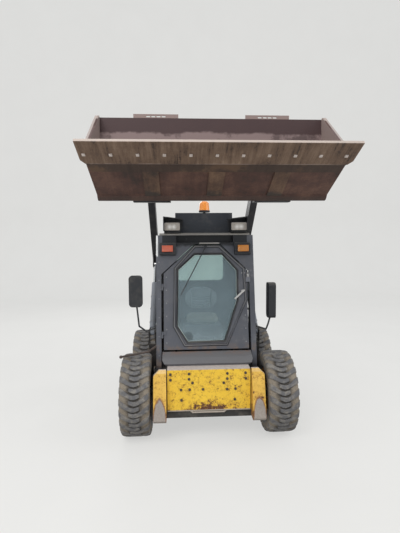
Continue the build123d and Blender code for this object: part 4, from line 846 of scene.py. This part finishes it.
# Dark speckled tone in the gaps across the middle: painted shade in the grooves.
groove_shade_tone = add(tree, "MixRGB", {"Fac": pebbles, "Color1": linear("#2C2926"), "Color2": linear("#4A443E")})
gap_tone = add(tree, "MixRGB", {"Fac": pebbles, "Color1": linear("#5C544A"), "Color2": linear("#958A7A")})
gap_tone = add(tree, "MixRGB", {"Fac": outward, "Color1": groove_shade_tone, "Color2": gap_tone})
smear = add(tree, "MapRange", {"Value": scuffs, "From Min": 0.47, "From Max": 0.64, "To Max": 0.65})
rubber_tone = add(tree, "MixRGB", {"Fac": smear, "Color1": rubber_tone, "Color2": linear("#8C857A")})
tyre_colour = add(tree, "MixRGB", {"Fac": gap_mask, "Color1": rubber_tone, "Color2": gap_tone})
tyre_bump = add(tree, "Bump", {"Height": pebbles, "Strength": 0.35, "Distance": 0.003})
finish_with(tyre_rubber, add(tree, "BsdfPrincipled", {
    "Base Color": tyre_colour, "Roughness": 0.75, "Normal": tyre_bump}))

tyre_r, lug_count, lug_depth = 0.415, 22, 0.020
section = np.array([
    (-0.088, 0.214), (-0.112, 0.214), (-0.112, 0.234), (-0.126, 0.247), (-0.142, 0.264), (-0.149, 0.29),
    (-0.150, 0.31), (-0.148, 0.345), (-0.143, 0.368), (-0.134, 0.383), (-0.112, 0.391), (-0.09, 0.394),
    (0.0, 0.396), (0.09, 0.394), (0.112, 0.391), (0.134, 0.383), (0.143, 0.368), (0.148, 0.345),
    (0.150, 0.31), (0.149, 0.29), (0.142, 0.264), (0.126, 0.247), (0.112, 0.234), (0.112, 0.214),
    (0.088, 0.214)])
shoulder_x, half_w, widest = 0.112, 0.150, 0.1512
wall_r, lug_foot_r = 0.335, 0.340
around, across_n = 836, 112


def tyre_surface(centre):
    """Section swept round the axle.  A lug is the set of points nearer than its half width to a bent
    line from beyond the middle plane to the shoulder; there the radius grows.  Odd lugs are mirrored."""
    run = np.r_[0, np.cumsum(np.hypot(*np.diff(section, axis=0).T))]
    v = np.linspace(0, run[-1], across_n)
    x = np.interp(v, run, section[:, 0])
    r = np.interp(v, run, section[:, 1])
    turn_a = np.linspace(0, 2 * math.pi, around, endpoint=False)[:, None]
    row_m = math.pi * tyre_r / lug_count
    lug = np.zeros((around, across_n))
    # `reach` runs from the middle plane towards the shoulder; `bent` and `width` are metres along the turn.
    for odd, half in ((0, 1), (1, -1)):
        reach = x * half
        bent = np.interp(reach, (-0.060, 0.0, 0.030, 0.065, 0.150), (-0.016, 0.003, -0.001, -0.020, -0.078))
        phase = turn_a * tyre_r - bent + (odd + 1) * row_m
        off = np.abs(phase % (2 * row_m) - row_m)
        width = np.interp(reach, (-0.055, -0.02, 0.055, 0.085, 0.150), (0.019, 0.0235, 0.0235, 0.031, 0.036))
        gap = np.minimum(width - off, 0.055 + reach)
        lug = np.maximum(lug, np.clip(gap / 0.005, 0, 1))
    lug = lug * np.clip((r - lug_foot_r) / 0.03, 0, 1)
    lug = lug * lug * (3 - 2 * lug)
    worn = 0.0008 * np.sin(turn_a * 37 + x * 60) * np.sin(turn_a * 91 - x * 140)
    rib = 0.0012 * np.cos((r - 0.25) * 2 * math.pi / 0.012) * ((r > 0.25) & (r < 0.33))
    shoulder = np.abs(x) > shoulder_x
    fade = np.where(shoulder, np.clip((r - wall_r) / 0.05, 0, 1), 1)
    grow = lug * lug_depth * fade + worn * (r > 0.25)
    r_all = np.minimum(r + grow, tyre_r)
    x_all = np.clip(x + (np.where(shoulder, lug * 0.004, 0) + rib) * np.sign(x), -widest, widest)
    points = np.stack([centre[0] + x_all, centre[1] + r_all * np.sin(turn_a),
                       centre[2] - r_all * np.cos(turn_a)], -1)
    clean = lug * np.clip(1.2 - np.abs(x) / half_w * 0.42, 0, 1)
    bare_wall = np.clip((wall_r - r) / 0.02, 0, 1) * 0.9
    return points, np.maximum(clean, bare_wall)


for wheel in ("fl", "fr", "rl", "rr"):
    grid, tread = tyre_surface(place["wheel_" + wheel + "_spin"])
    tyre_piece = surface_mesh("tyre_" + wheel + "_tread", grid, tyre_rubber, close_v=True)
    level_attr = tyre_piece.data.attributes.new("tread", "FLOAT", "POINT")
    level_attr.data.foreach_set("value", tread.reshape(-1).astype(np.float32))
    put(tyre_piece, "wheel_" + wheel, "tyre", "tyre_" + wheel)

# Rims: pressed steel wheels, once painted, now orange-brown with rust, and
# the bent guard bar that is welded to the left post over the front tyre.

rim_rust = rusted_plate("rim_rust", "#5A3A1F", "#8F6230", "#B98A45", wetness=0.35, streak=0.2)
dress(rim_rust, "rim_fl", "rim_fr", "rim_rl", "rim_rr")
bar_rust = rusted_plate("bar_rust", "#332B28", "#4C403A", "#6E5F54", wetness=0.3, streak=0.2)
bar_path = rounded([(-0.886, front_axle - 0.100, 0.839), (-0.606, front_axle - 0.100, 0.888),
                    (-0.556, front_axle + 0.030, 0.893), (-0.530, front_axle + 0.088, 0.893)], 0.03)
tube("guard_bar", bar_path, 0.011, bar_rust, "chassis", "rusty_steel")
knob_turn = np.linspace(0, math.pi, 9)[None, :, None]
bar_out, bar_top = np.array([-1.0, 0, -0.17]), np.array([-0.17, 0, 0.985])
knob_ring = np.cos(band_turn)[:, None] * np.array([0, 1.0, 0]) + np.sin(band_turn)[:, None] * bar_top
knob = bar_path[0] + 0.017 * (np.cos(knob_turn) * bar_out + np.sin(knob_turn) * knob_ring)
put(surface_mesh("guard_bar_knob", knob, bar_rust), "chassis", "rusty_steel")
